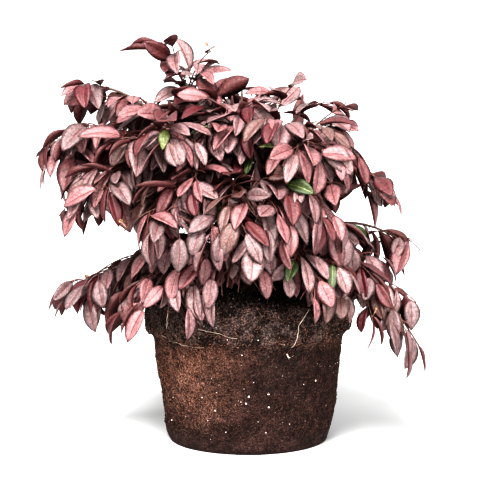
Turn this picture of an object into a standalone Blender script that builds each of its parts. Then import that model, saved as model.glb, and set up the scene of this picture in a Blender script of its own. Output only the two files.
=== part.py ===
"""Chinese fringe flower shrub standing on its bare root ball, lifted out of a nursery pot.

Metres, +Z up. The origin is the middle of the root ball's flat underside. -Y faces the viewer, +X is
the viewer's right, and azimuths run anticlockwise from +X seen from above.

A short trunk stands on the root ball. Arching boughs leave it in whorls, and each bough carries one
mass of foliage: a stem that goes on along the bough's own curve, side twigs on it, and leaves that hang
from both. Each line of SHOOTS sets one bough and its mass.
"""
import math
import random
from collections import namedtuple

import bpy
import bmesh
from mathutils import Matrix, Vector
from mathutils.bvhtree import BVHTree

UP = Vector((0, 0, 1))
GAP = 0.0003  # between solids that carry each other
SEED = 41

# Root ball: a wide band under the soil's top, where the pot had its rim, over a body that tapers down.
# Each lump is a wave: (its count round the ball, how fast it turns with height, its share of the relief)
BALL_HEIGHT = 0.195
BAND_TOP_RADIUS = 0.1345
BAND_FOOT_RADIUS = 0.1335
BAND_HEIGHT = 0.050
BODY_TOP_RADIUS = 0.1235
BODY_FOOT_RADIUS = 0.1055
BALL_EDGE = 0.006
BALL_SIDES = 32
BALL_RELIEF = 0.0012
BALL_LUMPS = ((3, 40, 1.0), (7, -90, 0.6))
SOIL_SEAT_RADIUS = 0.045
SOIL_MIDWAY_RADIUS = 0.090
SOIL_DIP = 0.004

# Trunk: the short stem inside the foliage, from its flat cut on the soil to its head
TRUNK_HEIGHT = 0.104
TRUNK_RADIUS = 0.0115
TRUNK_HEAD_RADIUS = 0.0080
TRUNK_FLARE = 0.0065
FLARE_HEIGHT = 0.016
FLARE_LOBES = 5
LOBE_SHARE = 0.10
TRUNK_LEAN = Vector((-0.10, 0.03))  # sideways travel for each metre of height
TRUNK_SIDES = 10
TRUNK_RING_SHARES = (0, 0.05, 0.15, 0.5, 0.8, 1)

# Boughs, the stem that each mass grows on, and its side twigs
BOUGH_RADIUS = 0.0036
BOUGH_TIP_RADIUS = 0.0024
BOUGH_SIDES = 5
BOUGH_RINGS = 4
STEM_RADIUS = 0.0026
STEM_TIP_RADIUS = 0.0015
STEM_RINGS = 5
TWIG_SIDES = 3
TWIGS = 4
TWIG_FOOT_SHARE = 0.62  # of the stem's radius where the twig leaves it
TWIG_TIP_RADIUS = 0.0010
FIRST_TWIG = 0.45  # in steps from one twig to the next
LAST_TWIG_AT = 0.94  # of the shoot's length
TWIG_FAN = (38, 70)  # degrees away from the stem
TWIG_ROLL = (-30, 55)  # degrees above the level
TWIG_LENGTHS = (0.85, 1.1)  # of the tier's spread
TWIG_SHRINK = 0.45  # lost from the first twig to the last

# Leaves: larger than life, because there are fewer of them than on the real shrub. Fold, arch and nod
# are shares of the leaf's length, and a bearing's parts are drawn between two weights
LEAF_LENGTH = 0.058
LEAF_WIDTH = 0.030
LEAF_WIDEST_AT = 0.43
LEAF_FOLD = 0.075
LEAF_ARCH = 0.03
LEAF_NOD = 0.09
LEAF_FOOT = 0.0008
LEAF_PITCH = 0.018
LEAF_SIZES = (0.85, 1.1)
TIP_LEAF_SIZES = (0.8, 1.0)
LEAF_SHRINK = 0.18  # lost from a twig's foot to its tip
STEM_BARE = 0.20  # of the stem's length, before its first leaf
TWIG_BARE = 0.33
TIP_LEAF_AT = 0.97
BEARING_FORWARD = (0.35, 0.75)
BEARING_ASIDE = (0.35, 0.85)
BEARING_DOWN = (0.55, 1.35)
TIP_BEARING_DOWN = (0.2, 0.7)
FACING_UP = (0.3, 0.8)
FACING_OUT = (0.3, 0.9)
FACING_ASIDE = (0.0, 0.7)
CROWN_HEART = Vector((-0.01, 0, BALL_HEIGHT + 0.05))  # outward is away from here

# Room: how often a twig or leaf is drawn anew before it is skipped, what it keeps from other pieces
# and from the root ball, and how far past the middle between two stems its own may reach
TRIES = 6
CLEARANCE = 0.0010
BALL_MARGIN = 0.003
TWIG_SLACK = 0.010
LEAF_SLACK = 0.012
STEM_MARKS = 10

# A tier's boughs leave the trunk at one height above the soil, every second one lower by the stagger.
# Foliage starts at one share of the shoot's length. Spread is the length of its longest side twigs, and
# droop how far they hang, as a share of their length.
Tier = namedtuple("Tier", "attach foliage_from spread droop")
TIERS = {
    "top": Tier(attach=0.098, foliage_from=0.32, spread=0.075, droop=0.25),
    "upper": Tier(attach=0.080, foliage_from=0.34, spread=0.090, droop=0.35),
    "mid": Tier(attach=0.057, foliage_from=0.38, spread=0.090, droop=0.45),
    "skirt": Tier(attach=0.027, foliage_from=0.40, spread=0.084, droop=0.50),
}
WHORL_STAGGER = 0.011

# One arching shoot each: its azimuth in degrees, how far its tip reaches from the trunk, the height
# above the soil that its arch is drawn towards, and its tip's height above the soil
Shoot = namedtuple("Shoot", "name tier azimuth reach arch tip")
SHOOTS = [
    Shoot("top_left", "top", 178, 0.102, 0.238, 0.320),
    Shoot("crown", "top", 90, 0.052, 0.215, 0.276),
    Shoot("top_right", "top", 12, 0.100, 0.222, 0.241),
    Shoot("top_front", "top", 262, 0.105, 0.250, 0.215),
    Shoot("upper_left", "upper", 174, 0.218, 0.280, 0.262),
    Shoot("upper_front_left", "upper", 226, 0.180, 0.275, 0.180),
    Shoot("upper_front_right", "upper", 302, 0.162, 0.262, 0.180),
    Shoot("upper_right", "upper", 350, 0.136, 0.258, 0.184),
    Shoot("upper_back_right", "upper", 62, 0.158, 0.252, 0.182),
    Shoot("upper_back_left", "upper", 118, 0.165, 0.270, 0.205),
    Shoot("mid_left", "mid", 184, 0.252, 0.282, 0.171),
    Shoot("mid_left_front", "mid", 210, 0.238, 0.250, 0.120),
    Shoot("mid_front_left", "mid", 238, 0.208, 0.225, 0.095),
    Shoot("mid_front", "mid", 261, 0.200, 0.220, 0.090),
    Shoot("mid_front_right", "mid", 283, 0.202, 0.222, 0.092),
    Shoot("mid_right_front", "mid", 305, 0.182, 0.225, 0.102),
    Shoot("mid_right", "mid", 354, 0.187, 0.234, 0.132),
    Shoot("mid_back_right", "mid", 58, 0.202, 0.225, 0.105),
    Shoot("mid_back", "mid", 94, 0.215, 0.225, 0.105),
    Shoot("mid_back_left", "mid", 136, 0.230, 0.235, 0.115),
    Shoot("skirt_left", "skirt", 190, 0.234, 0.076, -0.002),
    Shoot("skirt_front_left", "skirt", 230, 0.198, 0.120, -0.004),
    Shoot("skirt_front", "skirt", 263, 0.185, 0.120, 0.030),
    Shoot("skirt_front_right", "skirt", 299, 0.188, 0.120, 0.026),
    Shoot("skirt_right_front", "skirt", 342, 0.230, 0.118, -0.062),
    Shoot("skirt_right", "skirt", 12, 0.216, 0.130, 0.054),
    Shoot("skirt_back_right", "skirt", 48, 0.205, 0.120, 0.005),
    Shoot("skirt_back", "skirt", 96, 0.200, 0.120, 0.005),
    Shoot("skirt_back_left", "skirt", 145, 0.210, 0.080, 0.004),
]
ARCH_SHARE = 0.50  # of the reach, where the height that draws the arch stands

# Colour and roughness of the three materials
SOIL_FINISH = ((0.085, 0.047, 0.030), 0.95)
BARK_FINISH = ((0.16, 0.105, 0.075), 0.85)
LEAF_FINISH = ((0.36, 0.13, 0.15), 0.55)


def clear_scene():
    for thing in list(bpy.data.objects):
        bpy.data.objects.remove(thing, do_unlink=True)


def make_material(name, finish):
    """A plain Principled material of one colour."""
    colour, roughness = finish
    material = bpy.data.materials.new(name)
    material.use_nodes = True
    shader = material.node_tree.nodes["Principled BSDF"]
    shader.inputs["Base Color"].default_value = (*colour, 1.0)
    shader.inputs["Roughness"].default_value = roughness
    shader.inputs["Metallic"].default_value = 0.0
    return material


def mesh_from(name, shape):
    """A mesh made of (corners, faces), with its faces pointing outwards."""
    corners, faces = shape
    work = bmesh.new()
    points = [work.verts.new(corner) for corner in corners]
    for face in faces:
        work.faces.new([points[i] for i in face])
    bmesh.ops.recalc_face_normals(work, faces=work.faces)
    mesh = bpy.data.meshes.new(name)
    work.to_mesh(mesh)
    work.free()
    return mesh


def add_object(name, mesh, material, collection=None):
    mesh.materials.clear()
    mesh.materials.append(material)
    thing = bpy.data.objects.new(name, mesh)
    (collection or bpy.context.scene.collection).objects.link(thing)
    return thing


def stand_at(thing, place, parent):
    """Moves an object's origin to the place where it is carried, and its mesh stays where it is."""
    thing.data.transform(Matrix.Translation(-place))
    thing.location = place
    thing.parent = parent


def polar(radius, turn, height=0.0):
    return Vector((radius * math.cos(turn), radius * math.sin(turn), height))


def even_steps(first, last, count):
    return [first + (last - first) * i / (count - 1) for i in range(count)]


def skin(rings):
    """(corners, faces) of a closed solid through rings of equal count, with a flat cap at each end."""
    sides = len(rings[0])
    corners = [corner for ring in rings for corner in ring]
    faces = []
    for start in range(0, len(corners) - sides, sides):
        for k in range(sides):
            a, b = start + k, start + (k + 1) % sides
            faces.append((a, b, b + sides, a + sides))
    faces.append(tuple(range(sides)))
    faces.append(tuple(range(len(corners) - sides, len(corners))))
    return corners, faces


def tube(points, directions, radii, sides):
    """A tapering tube: one ring at each point, square to the direction there."""
    rings = []
    for point, along, radius in zip(points, directions, radii):
        side = along.cross(UP).normalized()
        rise = side.cross(along)
        turns = [2 * math.pi * k / sides for k in range(sides)]
        rings.append([point + radius * (math.cos(a) * rise + math.sin(a) * side) for a in turns])
    return skin(rings)


class Arc:
    """A quadratic curve from start to tip, drawn towards a third point. t runs from 0 to 1."""

    def __init__(self, start, drawn, tip):
        self.start, self.drawn, self.tip = start, drawn, tip

    def point(self, t):
        return self.start * (1 - t) ** 2 + self.drawn * 2 * t * (1 - t) + self.tip * t ** 2

    def pace(self, t):
        """How the point moves with t: its direction is the curve's, its length metres per unit t."""
        return (self.drawn - self.start) * 2 * (1 - t) + (self.tip - self.drawn) * 2 * t

    def part(self, first, last, count):
        """(points, directions) at even steps of t."""
        steps = even_steps(first, last, count)
        return [self.point(t) for t in steps], [self.pace(t).normalized() for t in steps]


def ball_profile():
    """(radius, height) pairs of the root ball, from its foot up to the flat seat under the trunk."""
    band_foot = BALL_HEIGHT - BAND_HEIGHT
    return [
        (BODY_FOOT_RADIUS - BALL_EDGE / 2, 0.0),
        (BODY_FOOT_RADIUS, BALL_EDGE / 2),
        ((BODY_FOOT_RADIUS + BODY_TOP_RADIUS) / 2, band_foot / 2),
        (BODY_TOP_RADIUS, band_foot - BALL_EDGE),
        (BAND_FOOT_RADIUS, band_foot),
        (BAND_TOP_RADIUS, BALL_HEIGHT - SOIL_DIP - BALL_EDGE),
        (BAND_TOP_RADIUS - BALL_EDGE, BALL_HEIGHT - SOIL_DIP),
        (SOIL_MIDWAY_RADIUS, BALL_HEIGHT - SOIL_DIP / 2),
        (SOIL_SEAT_RADIUS, BALL_HEIGHT),
    ]


def lumpy(radius, turn, height):
    """The radius with low lumps on it, everywhere but on the underside and at the trunk's seat."""
    if height == 0 or radius <= SOIL_SEAT_RADIUS:
        return radius
    waves = (share * math.sin(count * turn + twist * height) for count, twist, share in BALL_LUMPS)
    return radius + BALL_RELIEF * sum(waves)


def root_ball_shape():
    turns = [2 * math.pi * k / BALL_SIDES for k in range(BALL_SIDES)]
    return skin([[polar(lumpy(r, a, z), a, z) for a in turns] for r, z in ball_profile()])


def clear_of_ball(points):
    """True where each point is over the root ball or beside it, with the margin to spare."""
    band_foot = BALL_HEIGHT - BAND_HEIGHT - BALL_EDGE
    relief = BALL_RELIEF * sum(share for _, _, share in BALL_LUMPS)
    for point in points:
        share = max(0.0, min(1.0, point.z / band_foot))
        body = BODY_FOOT_RADIUS + share * (BODY_TOP_RADIUS - BODY_FOOT_RADIUS)
        radius = BAND_TOP_RADIUS if point.z > band_foot else body
        beside = point.xy.length > radius + relief + BALL_MARGIN
        if point.z < BALL_HEIGHT + BALL_MARGIN and not beside:
            return False
    return True


def trunk_point(height):
    """The trunk's own line, at a height above the soil: straight, with a slight lean."""
    return Vector((*(TRUNK_LEAN * height), BALL_HEIGHT + GAP + height))


def trunk_radius(height):
    """Tapering evenly, with a flare over the soil where the first roots spread."""
    taper = TRUNK_RADIUS + (TRUNK_HEAD_RADIUS - TRUNK_RADIUS) * height / TRUNK_HEIGHT
    return taper + TRUNK_FLARE * max(0.0, 1 - height / FLARE_HEIGHT) ** 2


def trunk_side(height, turn):
    """How far the trunk's surface is from its line, towards a turn: nearer on its flat sides than on the
    edges between them."""
    half = math.pi / TRUNK_SIDES
    return trunk_radius(height) * math.cos(half) / math.cos(turn % (2 * half) - half)


def trunk_shape():
    """The short stem. Its rings are level, so that its foot is a flat cut on the soil."""
    rings = []
    for height in (share * TRUNK_HEIGHT for share in TRUNK_RING_SHARES):
        lobes = LOBE_SHARE * max(0.0, 1 - height / FLARE_HEIGHT)
        turns = [2 * math.pi * k / TRUNK_SIDES for k in range(TRUNK_SIDES)]
        radii = [trunk_radius(height) * (1 + lobes * math.cos(FLARE_LOBES * a)) for a in turns]
        rings.append([trunk_point(height) + polar(r, a) for r, a in zip(radii, turns)])
    return skin(rings)


def shoot_arc(shoot, place):
    """The shoot's curve in an upright plane, from the trunk's surface to its tip, drawn towards the
    arch height. place is the shoot's number within its tier."""
    turn = math.radians(shoot.azimuth)
    out = polar(1, turn)
    attach = TIERS[shoot.tier].attach - WHORL_STAGGER * (place % 2)
    axis = trunk_point(attach)
    drawn = axis + out * shoot.reach * ARCH_SHARE
    drawn.z = BALL_HEIGHT + shoot.arch
    tip = axis + out * shoot.reach
    tip.z = BALL_HEIGHT + shoot.tip
    rise = (drawn - axis).normalized().z
    start = axis + out * (trunk_side(attach, turn) + GAP + BOUGH_RADIUS * rise)
    return Arc(start, drawn, tip)


def bough_shape(shoot, arc, extra=0.0):
    """One tapering limb, from the trunk to where its foliage starts, thicker by extra."""
    points, directions = arc.part(0, TIERS[shoot.tier].foliage_from, BOUGH_RINGS)
    radii = even_steps(BOUGH_RADIUS + extra, BOUGH_TIP_RADIUS + extra, BOUGH_RINGS)
    return tube(points, directions, radii, BOUGH_SIDES)


def stem_shape(shoot, arc, extra=0.0):
    """The stem that a mass grows on: it goes on from its bough's end, a gap away from it."""
    base = TIERS[shoot.tier].foliage_from
    points, directions = arc.part(base + GAP / arc.pace(base).length, 1, STEM_RINGS)
    radii = even_steps(STEM_RADIUS + extra, STEM_TIP_RADIUS + extra, STEM_RINGS)
    return tube(points, directions, radii, TWIG_SIDES)


def side_twig(shoot, arc, place, draw):
    """(points, directions, radii) of one side twig: it leaves the stem to one hand, rises a little and
    droops towards its tip. Twigs shorten towards the shoot's tip."""
    tier = TIERS[shoot.tier]
    hand = 1 if place % 2 else -1
    share = (place + FIRST_TWIG) / TWIGS
    t = tier.foliage_from + (LAST_TWIG_AT - tier.foliage_from) * share
    way = arc.pace(t).normalized()
    aside = way.cross(UP).normalized() * hand
    rise = aside.cross(way) * hand
    fan = math.radians(draw.uniform(*TWIG_FAN))
    roll = math.radians(draw.uniform(*TWIG_ROLL))
    start = (aside * math.cos(roll) + rise * math.sin(roll)) * math.sin(fan) + way * math.cos(fan)
    length = tier.spread * (1 - TWIG_SHRINK * share) * draw.uniform(*TWIG_LENGTHS)
    fall = UP * tier.droop
    steps = (0, 0.5, 1)
    points = [arc.point(t) + (start * s - fall * s * s) * length for s in steps]
    directions = [(start - fall * 2 * s).normalized() for s in steps]
    foot_radius = (STEM_RADIUS + (STEM_TIP_RADIUS - STEM_RADIUS) * share) * TWIG_FOOT_SHARE
    return points, directions, even_steps(foot_radius, TWIG_TIP_RADIUS, len(steps))


def leaf_places(points, bare, draw):
    """Leaf places along a twig, each as (foot, twig's direction, hand, length). They alternate from
    hand to hand past the bare share of the twig, and one more, whose hand is 0, goes on from its tip."""

    def spot(share):
        scaled = share * (len(points) - 1)
        i = min(int(scaled), len(points) - 2)
        return points[i].lerp(points[i + 1], scaled - i), (points[i + 1] - points[i]).normalized()

    run = (points[-1] - points[0]).length * (1 - bare)
    count = max(1, round(run / LEAF_PITCH))
    places = []
    for i in range(count):
        size = draw.uniform(*LEAF_SIZES) * (1 - LEAF_SHRINK * i / count)
        places.append((*spot(bare + (1 - bare) * i / count), 1 if i % 2 else -1, LEAF_LENGTH * size))
    tip_size = draw.uniform(*TIP_LEAF_SIZES) * (1 - LEAF_SHRINK)
    places.append((*spot(TIP_LEAF_AT), 0, LEAF_LENGTH * tip_size))
    return places


def leaf_bearing(foot, twig_way, hand, draw):
    """(along, facing) of a leaf: it leaves its twig to one hand, or goes on from the twig's tip where
    the hand is 0, hangs with its weight, and turns its upper face up and out of the crown."""
    outward = (foot - CROWN_HEART).normalized()
    aside = twig_way.cross(UP).normalized() * hand
    if hand:
        along = twig_way * draw.uniform(*BEARING_FORWARD) + aside * draw.uniform(*BEARING_ASIDE)
        along -= UP * draw.uniform(*BEARING_DOWN)
    else:
        along = twig_way - UP * draw.uniform(*TIP_BEARING_DOWN)
    along.normalize()
    facing = UP * draw.uniform(*FACING_UP) + outward * draw.uniform(*FACING_OUT)
    facing += aside * draw.uniform(*FACING_ASIDE)
    return along, (facing - along * facing.dot(along)).normalized()


def leaf_shape(foot, along, facing, length, extra=0.0):
    """One leaf of eight faces: its foot is an upright edge sunk in the twig, its blade is folded up a
    little along the midrib, and its tip nods. extra makes it larger all round."""
    width = length * LEAF_WIDTH / LEAF_LENGTH + 2 * extra
    length += extra
    side = along.cross(facing)
    widest = foot + along * LEAF_WIDEST_AT * length
    raised = widest + facing * LEAF_FOLD * length
    corners = [
        foot + facing * LEAF_FOOT / 2,
        foot - facing * (LEAF_FOOT / 2 + extra),
        foot + along * length - facing * LEAF_NOD * length,
        raised + side * width / 2,
        raised - side * width / 2,
        widest + facing * (LEAF_ARCH * length + extra),
    ]
    foot_up, foot_down, tip, left, right, rib = range(6)
    faces = [
        (foot_up, left, rib), (foot_up, rib, right), (left, tip, rib), (rib, tip, right),
        (foot_down, tip, left), (foot_down, right, tip),
        (foot_up, foot_down, left), (foot_up, right, foot_down),
    ]
    return corners, faces


def tree_of(shape):
    return BVHTree.FromPolygons(*shape)


def touches(shape, trees):
    own = tree_of(shape)
    return any(own.overlap(tree) for tree in trees)


class Spaces:
    """Which mass of foliage a point belongs to: the one whose stem passes nearest."""

    def __init__(self, arcs):
        self.marks = {
            shoot: arc.part(TIERS[shoot.tier].foliage_from, 1, STEM_MARKS)[0]
            for shoot, arc in arcs.items()
        }

    def hold(self, shoot, point, slack):
        """True where the point is nearest to this shoot's stem, or past the middle by the slack."""
        own = min((point - mark).length for mark in self.marks[shoot])
        rivals = (marks for name, marks in self.marks.items() if name != shoot)
        return all((point - mark).length + slack > own for marks in rivals for mark in marks)


def grow_twigs(shoot, arc, spaces, obstacles, draw):
    """The mass's side twigs, as (points, shape) pairs."""
    grown = []
    for place in range(TWIGS):
        for _ in range(TRIES):
            points, directions, radii = side_twig(shoot, arc, place, draw)
            thicker = tube(points, directions, [radius + CLEARANCE for radius in radii], TWIG_SIDES)
            inside = all(spaces.hold(shoot, point, TWIG_SLACK) for point in points[1:])
            if inside and clear_of_ball(points) and not touches(thicker, obstacles):
                grown.append((points, tube(points, directions, radii, TWIG_SIDES)))
                break
    return grown


def grow_mass(shoot, arc, spaces, obstacles, draw):
    """The closed shapes of one mass, stem first. A twig or leaf is drawn a few times over, and skipped
    if it would still leave the mass's space or touch a limb, the root ball, another mass or a leaf."""
    stem_points = arc.part(TIERS[shoot.tier].foliage_from, 1, STEM_RINGS)[0]
    twigs = grow_twigs(shoot, arc, spaces, obstacles, draw)
    carriers = [(stem_points, stem_shape(shoot, arc), STEM_BARE)]
    carriers += [(points, shape, TWIG_BARE) for points, shape in twigs]
    shapes = [shape for _, shape, _ in carriers]
    trees = [tree_of(shape) for shape in shapes]
    blades = []
    for i, (points, _, bare) in enumerate(carriers):
        others = obstacles + trees[:i] + trees[i + 1:]
        for foot, way, hand, length in leaf_places(points, bare, draw):
            for _ in range(TRIES):
                along, facing = leaf_bearing(foot, way, hand, draw)
                larger = leaf_shape(foot, along, facing, length, CLEARANCE)
                inside = spaces.hold(shoot, foot + along * length / 2, LEAF_SLACK)
                blade_corners = larger[0][2:]
                if inside and clear_of_ball(blade_corners) and not touches(larger, others + blades):
                    shapes.append(leaf_shape(foot, along, facing, length))
                    blades.append(tree_of(shapes[-1]))
                    break
    return shapes


def fused(name, shapes, material):
    """One solid: the first shape with the others joined on by one Boolean union."""
    whole = add_object(name, mesh_from(name, shapes[0]), material)
    pieces = bpy.data.collections.new(name + "_pieces")
    bpy.context.scene.collection.children.link(pieces)
    for i, shape in enumerate(shapes[1:]):
        add_object(f"{name}_piece_{i}", mesh_from(name, shape), material, pieces)
    union = whole.modifiers.new("union", "BOOLEAN")
    union.operation = "UNION"
    union.operand_type = "COLLECTION"
    union.collection = pieces
    union.solver = "EXACT"
    graph = bpy.context.evaluated_depsgraph_get()
    joined = bpy.data.meshes.new_from_object(whole.evaluated_get(graph))
    whole.modifiers.clear()
    whole.data = joined
    for piece in list(pieces.objects):
        bpy.data.objects.remove(piece, do_unlink=True)
    bpy.data.collections.remove(pieces)
    return whole


def main():
    clear_scene()
    soil = make_material("root_ball_soil", SOIL_FINISH)
    bark = make_material("bark", BARK_FINISH)
    leaves = make_material("leaves", LEAF_FINISH)
    shrub = bpy.data.objects.new("shrub", None)
    bpy.context.scene.collection.objects.link(shrub)

    root_ball = add_object("root_ball", mesh_from("root_ball", root_ball_shape()), soil)
    root_ball.parent = shrub
    trunk = add_object("trunk", mesh_from("trunk", trunk_shape()), bark)
    stand_at(trunk, trunk_point(0), shrub)

    taken = [tree_of(root_ball_shape()), tree_of(trunk_shape())]
    places, arcs, stems = {}, {}, {}
    for shoot in SHOOTS:
        places[shoot.tier] = places.get(shoot.tier, -1) + 1
        arc = arcs[shoot] = shoot_arc(shoot, places[shoot.tier])
        name = "bough_" + shoot.name
        bough = add_object(name, mesh_from(name, bough_shape(shoot, arc)), bark)
        stand_at(bough, arc.start, shrub)
        taken.append(tree_of(bough_shape(shoot, arc, CLEARANCE)))
        stems[shoot] = tree_of(stem_shape(shoot, arc, CLEARANCE))

    spaces = Spaces(arcs)
    for number, (shoot, arc) in enumerate(arcs.items()):
        obstacles = taken + [stem for owner, stem in stems.items() if owner != shoot]
        shapes = grow_mass(shoot, arc, spaces, obstacles, random.Random(SEED + number))
        taken += [tree_of(shape) for shape in shapes]
        mass = fused("foliage_" + shoot.name, shapes, leaves)
        stand_at(mass, arc.point(TIERS[shoot.tier].foliage_from), shrub)


main()
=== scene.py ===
# Chinese fringe flower shrub on its bare root ball: the looks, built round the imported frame.
# Metres, +Z up, origin at the middle of the root ball's flat underside. -Y faces the viewer, +X is the
# viewer's right, and azimuths run anticlockwise from +X seen from above.
import math
import random

import bpy
import numpy as np
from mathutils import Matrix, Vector
from mathutils.bvhtree import BVHTree


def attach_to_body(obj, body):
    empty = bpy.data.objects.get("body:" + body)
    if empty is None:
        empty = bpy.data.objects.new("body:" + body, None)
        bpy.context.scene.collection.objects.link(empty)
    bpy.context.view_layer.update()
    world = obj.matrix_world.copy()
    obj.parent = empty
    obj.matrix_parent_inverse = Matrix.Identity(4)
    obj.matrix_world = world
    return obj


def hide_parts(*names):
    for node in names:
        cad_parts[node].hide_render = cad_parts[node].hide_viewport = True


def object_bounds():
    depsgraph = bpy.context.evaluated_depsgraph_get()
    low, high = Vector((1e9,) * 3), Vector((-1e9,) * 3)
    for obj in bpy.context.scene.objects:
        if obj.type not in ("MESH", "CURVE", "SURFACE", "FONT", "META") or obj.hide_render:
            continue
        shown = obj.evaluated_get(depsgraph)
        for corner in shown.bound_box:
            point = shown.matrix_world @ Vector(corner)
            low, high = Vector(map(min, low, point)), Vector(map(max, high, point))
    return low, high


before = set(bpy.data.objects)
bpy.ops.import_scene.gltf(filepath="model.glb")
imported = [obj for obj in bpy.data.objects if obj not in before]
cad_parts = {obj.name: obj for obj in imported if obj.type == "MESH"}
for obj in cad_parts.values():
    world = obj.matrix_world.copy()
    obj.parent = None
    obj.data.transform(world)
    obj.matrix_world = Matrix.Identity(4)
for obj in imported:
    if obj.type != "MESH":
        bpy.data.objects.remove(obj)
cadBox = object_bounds()
boughNodes = [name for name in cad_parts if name.startswith("bough_")]
massNodes = [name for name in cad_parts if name.startswith("foliage_")]
print("frame:", len(boughNodes), "boughs and", len(massNodes), "masses of foliage")

up = np.array((0.0, 0.0, 1.0))


# Plain tools for vectors, curves and meshes

def unit(vectors):
    # each vector over its own length
    return vectors / np.maximum(np.linalg.norm(vectors, axis=-1, keepdims=True), 1e-12)


def arcPoint(arc, t):
    # a quadratic curve: start (1-t)^2 + drawn 2t(1-t) + tip t^2
    t = np.asarray(t, float)[..., None]
    return arc[0] * (1 - t) ** 2 + arc[1] * 2 * t * (1 - t) + arc[2] * t ** 2


def arcPace(arc, t):
    # how that point moves with t
    t = np.asarray(t, float)[..., None]
    return (arc[1] - arc[0]) * 2 * (1 - t) + (arc[2] - arc[1]) * 2 * t


def softNoise(points, cell, seed):
    # from -1 to 1: a random value at each corner of a lattice of cubes, blended smoothly between them
    scaled = points / cell
    base = np.floor(scaled)
    part = scaled - base
    part = part * part * (3 - 2 * part)
    base = base.astype(np.int64)
    total = np.zeros(points.shape[:-1])
    for i in (0, 1):
        for j in (0, 1):
            for k in (0, 1):
                corner = base + (i, j, k)
                key = corner[..., 0] * 73856093 ^ corner[..., 1] * 19349663 ^ corner[..., 2] * 83492791
                key = (key ^ seed * 2654435761) & 0xFFFFFFFF
                key = ((key ^ key >> 15) * 2246822519) & 0xFFFFFFFF
                key = ((key ^ key >> 13) * 3266489917) & 0xFFFFFFFF
                value = (key ^ key >> 16) / 2147483648.0 - 1
                share = np.where((i, j, k), part, 1 - part)
                total += value * share.prod(axis=-1)
    return total


def layered(points, layers):
    # soft noises on top of each other, each (height, cell, seed)
    return sum(height * softNoise(points, cell, seed) for height, cell, seed in layers)


def column(rows, key):
    # one entry of each dictionary in a list
    return np.array([row[key] for row in rows])


def smoothStep(values, low, high):
    # from 0 at low to 1 at high, level at both ends
    share = np.clip((values - low) / (high - low), 0, 1)
    return share * share * (3 - 2 * share)


def gridFaces(rows, columns, wrap=False):
    # quads of a grid of corners, rows first, its last column joined to its first where it wraps
    row, column = np.meshgrid(np.arange(rows - 1), np.arange(columns - (not wrap)), indexing="ij")
    right = (column + 1) % columns
    start = row * columns
    quads = np.stack([start + column, start + right, start + columns + right, start + columns + column], -1)
    return quads.reshape(-1, 4)


def poleFaces(rows, columns, foot, top):
    # triangles that close such a wrapped grid: from its first row to the foot, from its last to the top
    k = np.arange(columns)
    right = (k + 1) % columns
    lastRow = (rows - 1) * columns
    return np.concatenate([
        np.stack([np.full_like(k, foot), right, k], -1),
        np.stack([np.full_like(k, top), lastRow + k, lastRow + right], -1),
    ])


def stamped(faces, cornersEach, count):
    # the same faces again for each copy of a shape
    shift = (np.arange(count) * cornersEach)[:, None, None]
    return (faces[None] + shift).reshape(-1, faces.shape[1])


def makePiece(name, corners, faceSets, materials, uv=None, values=None):
    # one mesh from corners and a list of (faces of one kind, their material slot), shaded smooth;
    # uv has a row for each corner, and values are named floats for each corner
    corners = np.asarray(corners, np.float32).reshape(-1, 3)
    loops = np.concatenate([faces.ravel() for faces, _ in faceSets]).astype(np.int32)
    sides = np.concatenate([np.full(len(faces), faces.shape[1]) for faces, _ in faceSets])
    slots = np.concatenate([np.full(len(faces), slot) for faces, slot in faceSets])
    mesh = bpy.data.meshes.new(name)
    mesh.vertices.add(len(corners))
    mesh.vertices.foreach_set("co", corners.ravel())
    mesh.loops.add(len(loops))
    mesh.loops.foreach_set("vertex_index", loops)
    mesh.polygons.add(len(sides))
    mesh.polygons.foreach_set("loop_start", np.concatenate([[0], np.cumsum(sides)[:-1]]).astype(np.int32))
    mesh.polygons.foreach_set("material_index", slots.astype(np.int32))
    if uv is not None:
        layer = mesh.uv_layers.new(name="place")
        layer.data.foreach_set("uv", np.asarray(uv, np.float32)[loops].ravel())
    for label, numbers in (values or {}).items():
        attribute = mesh.attributes.new(label, "FLOAT", "POINT")
        attribute.data.foreach_set("value", np.asarray(numbers, np.float32).ravel())
    mesh.update(calc_edges=True)
    mesh.validate()
    mesh.shade_smooth()
    for material in materials:
        mesh.materials.append(material)
    piece = bpy.data.objects.new(name, mesh)
    bpy.context.scene.collection.objects.link(piece)
    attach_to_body(piece, "root")
    print("piece", name, "faces", len(sides))
    return piece


def tubes(paths, radii, sides, facing):
    # tubes of one kind: paths (count, points, 3), a radius at each point or at each point and side, and a
    # direction that is never along the path. Rings stand square to the path, a corner closes each end.
    count, points = paths.shape[:2]
    along = unit(np.gradient(paths, axis=1))
    side = unit(np.cross(along, facing))
    rise = np.cross(side, along)
    turn = np.arange(sides) * 2 * np.pi / sides
    wheel = np.cos(turn)[:, None] * rise[:, :, None] + np.sin(turn)[:, None] * side[:, :, None]
    if radii.ndim == 2:
        radii = radii[:, :, None]
    rings = paths[:, :, None] + radii[..., None] * wheel
    foot = paths[:, :1] - along[:, :1] * radii[:, :1].mean(-1)[..., None] * 0.5
    tip = paths[:, -1:] + along[:, -1:] * radii[:, -1:].mean(-1)[..., None] * 0.8
    corners = np.concatenate([foot, rings.reshape(count, -1, 3), tip], axis=1)
    walls = gridFaces(points, sides, wrap=True) + 1
    ends = poleFaces(points, sides, -1, points * sides) + 1
    each = corners.shape[1]
    faceSets = [(stamped(walls, each, count), 0), (stamped(ends, each, count), 0)]
    return corners.reshape(-1, 3), faceSets


def joined(parts):
    # several (corners, faceSets) as one
    corners, faceSets, start = [], [], 0
    for someCorners, someSets in parts:
        corners.append(someCorners)
        faceSets += [(faces + start, slot) for faces, slot in someSets]
        start += len(someCorners)
    return np.concatenate(corners), faceSets


# Materials

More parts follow.
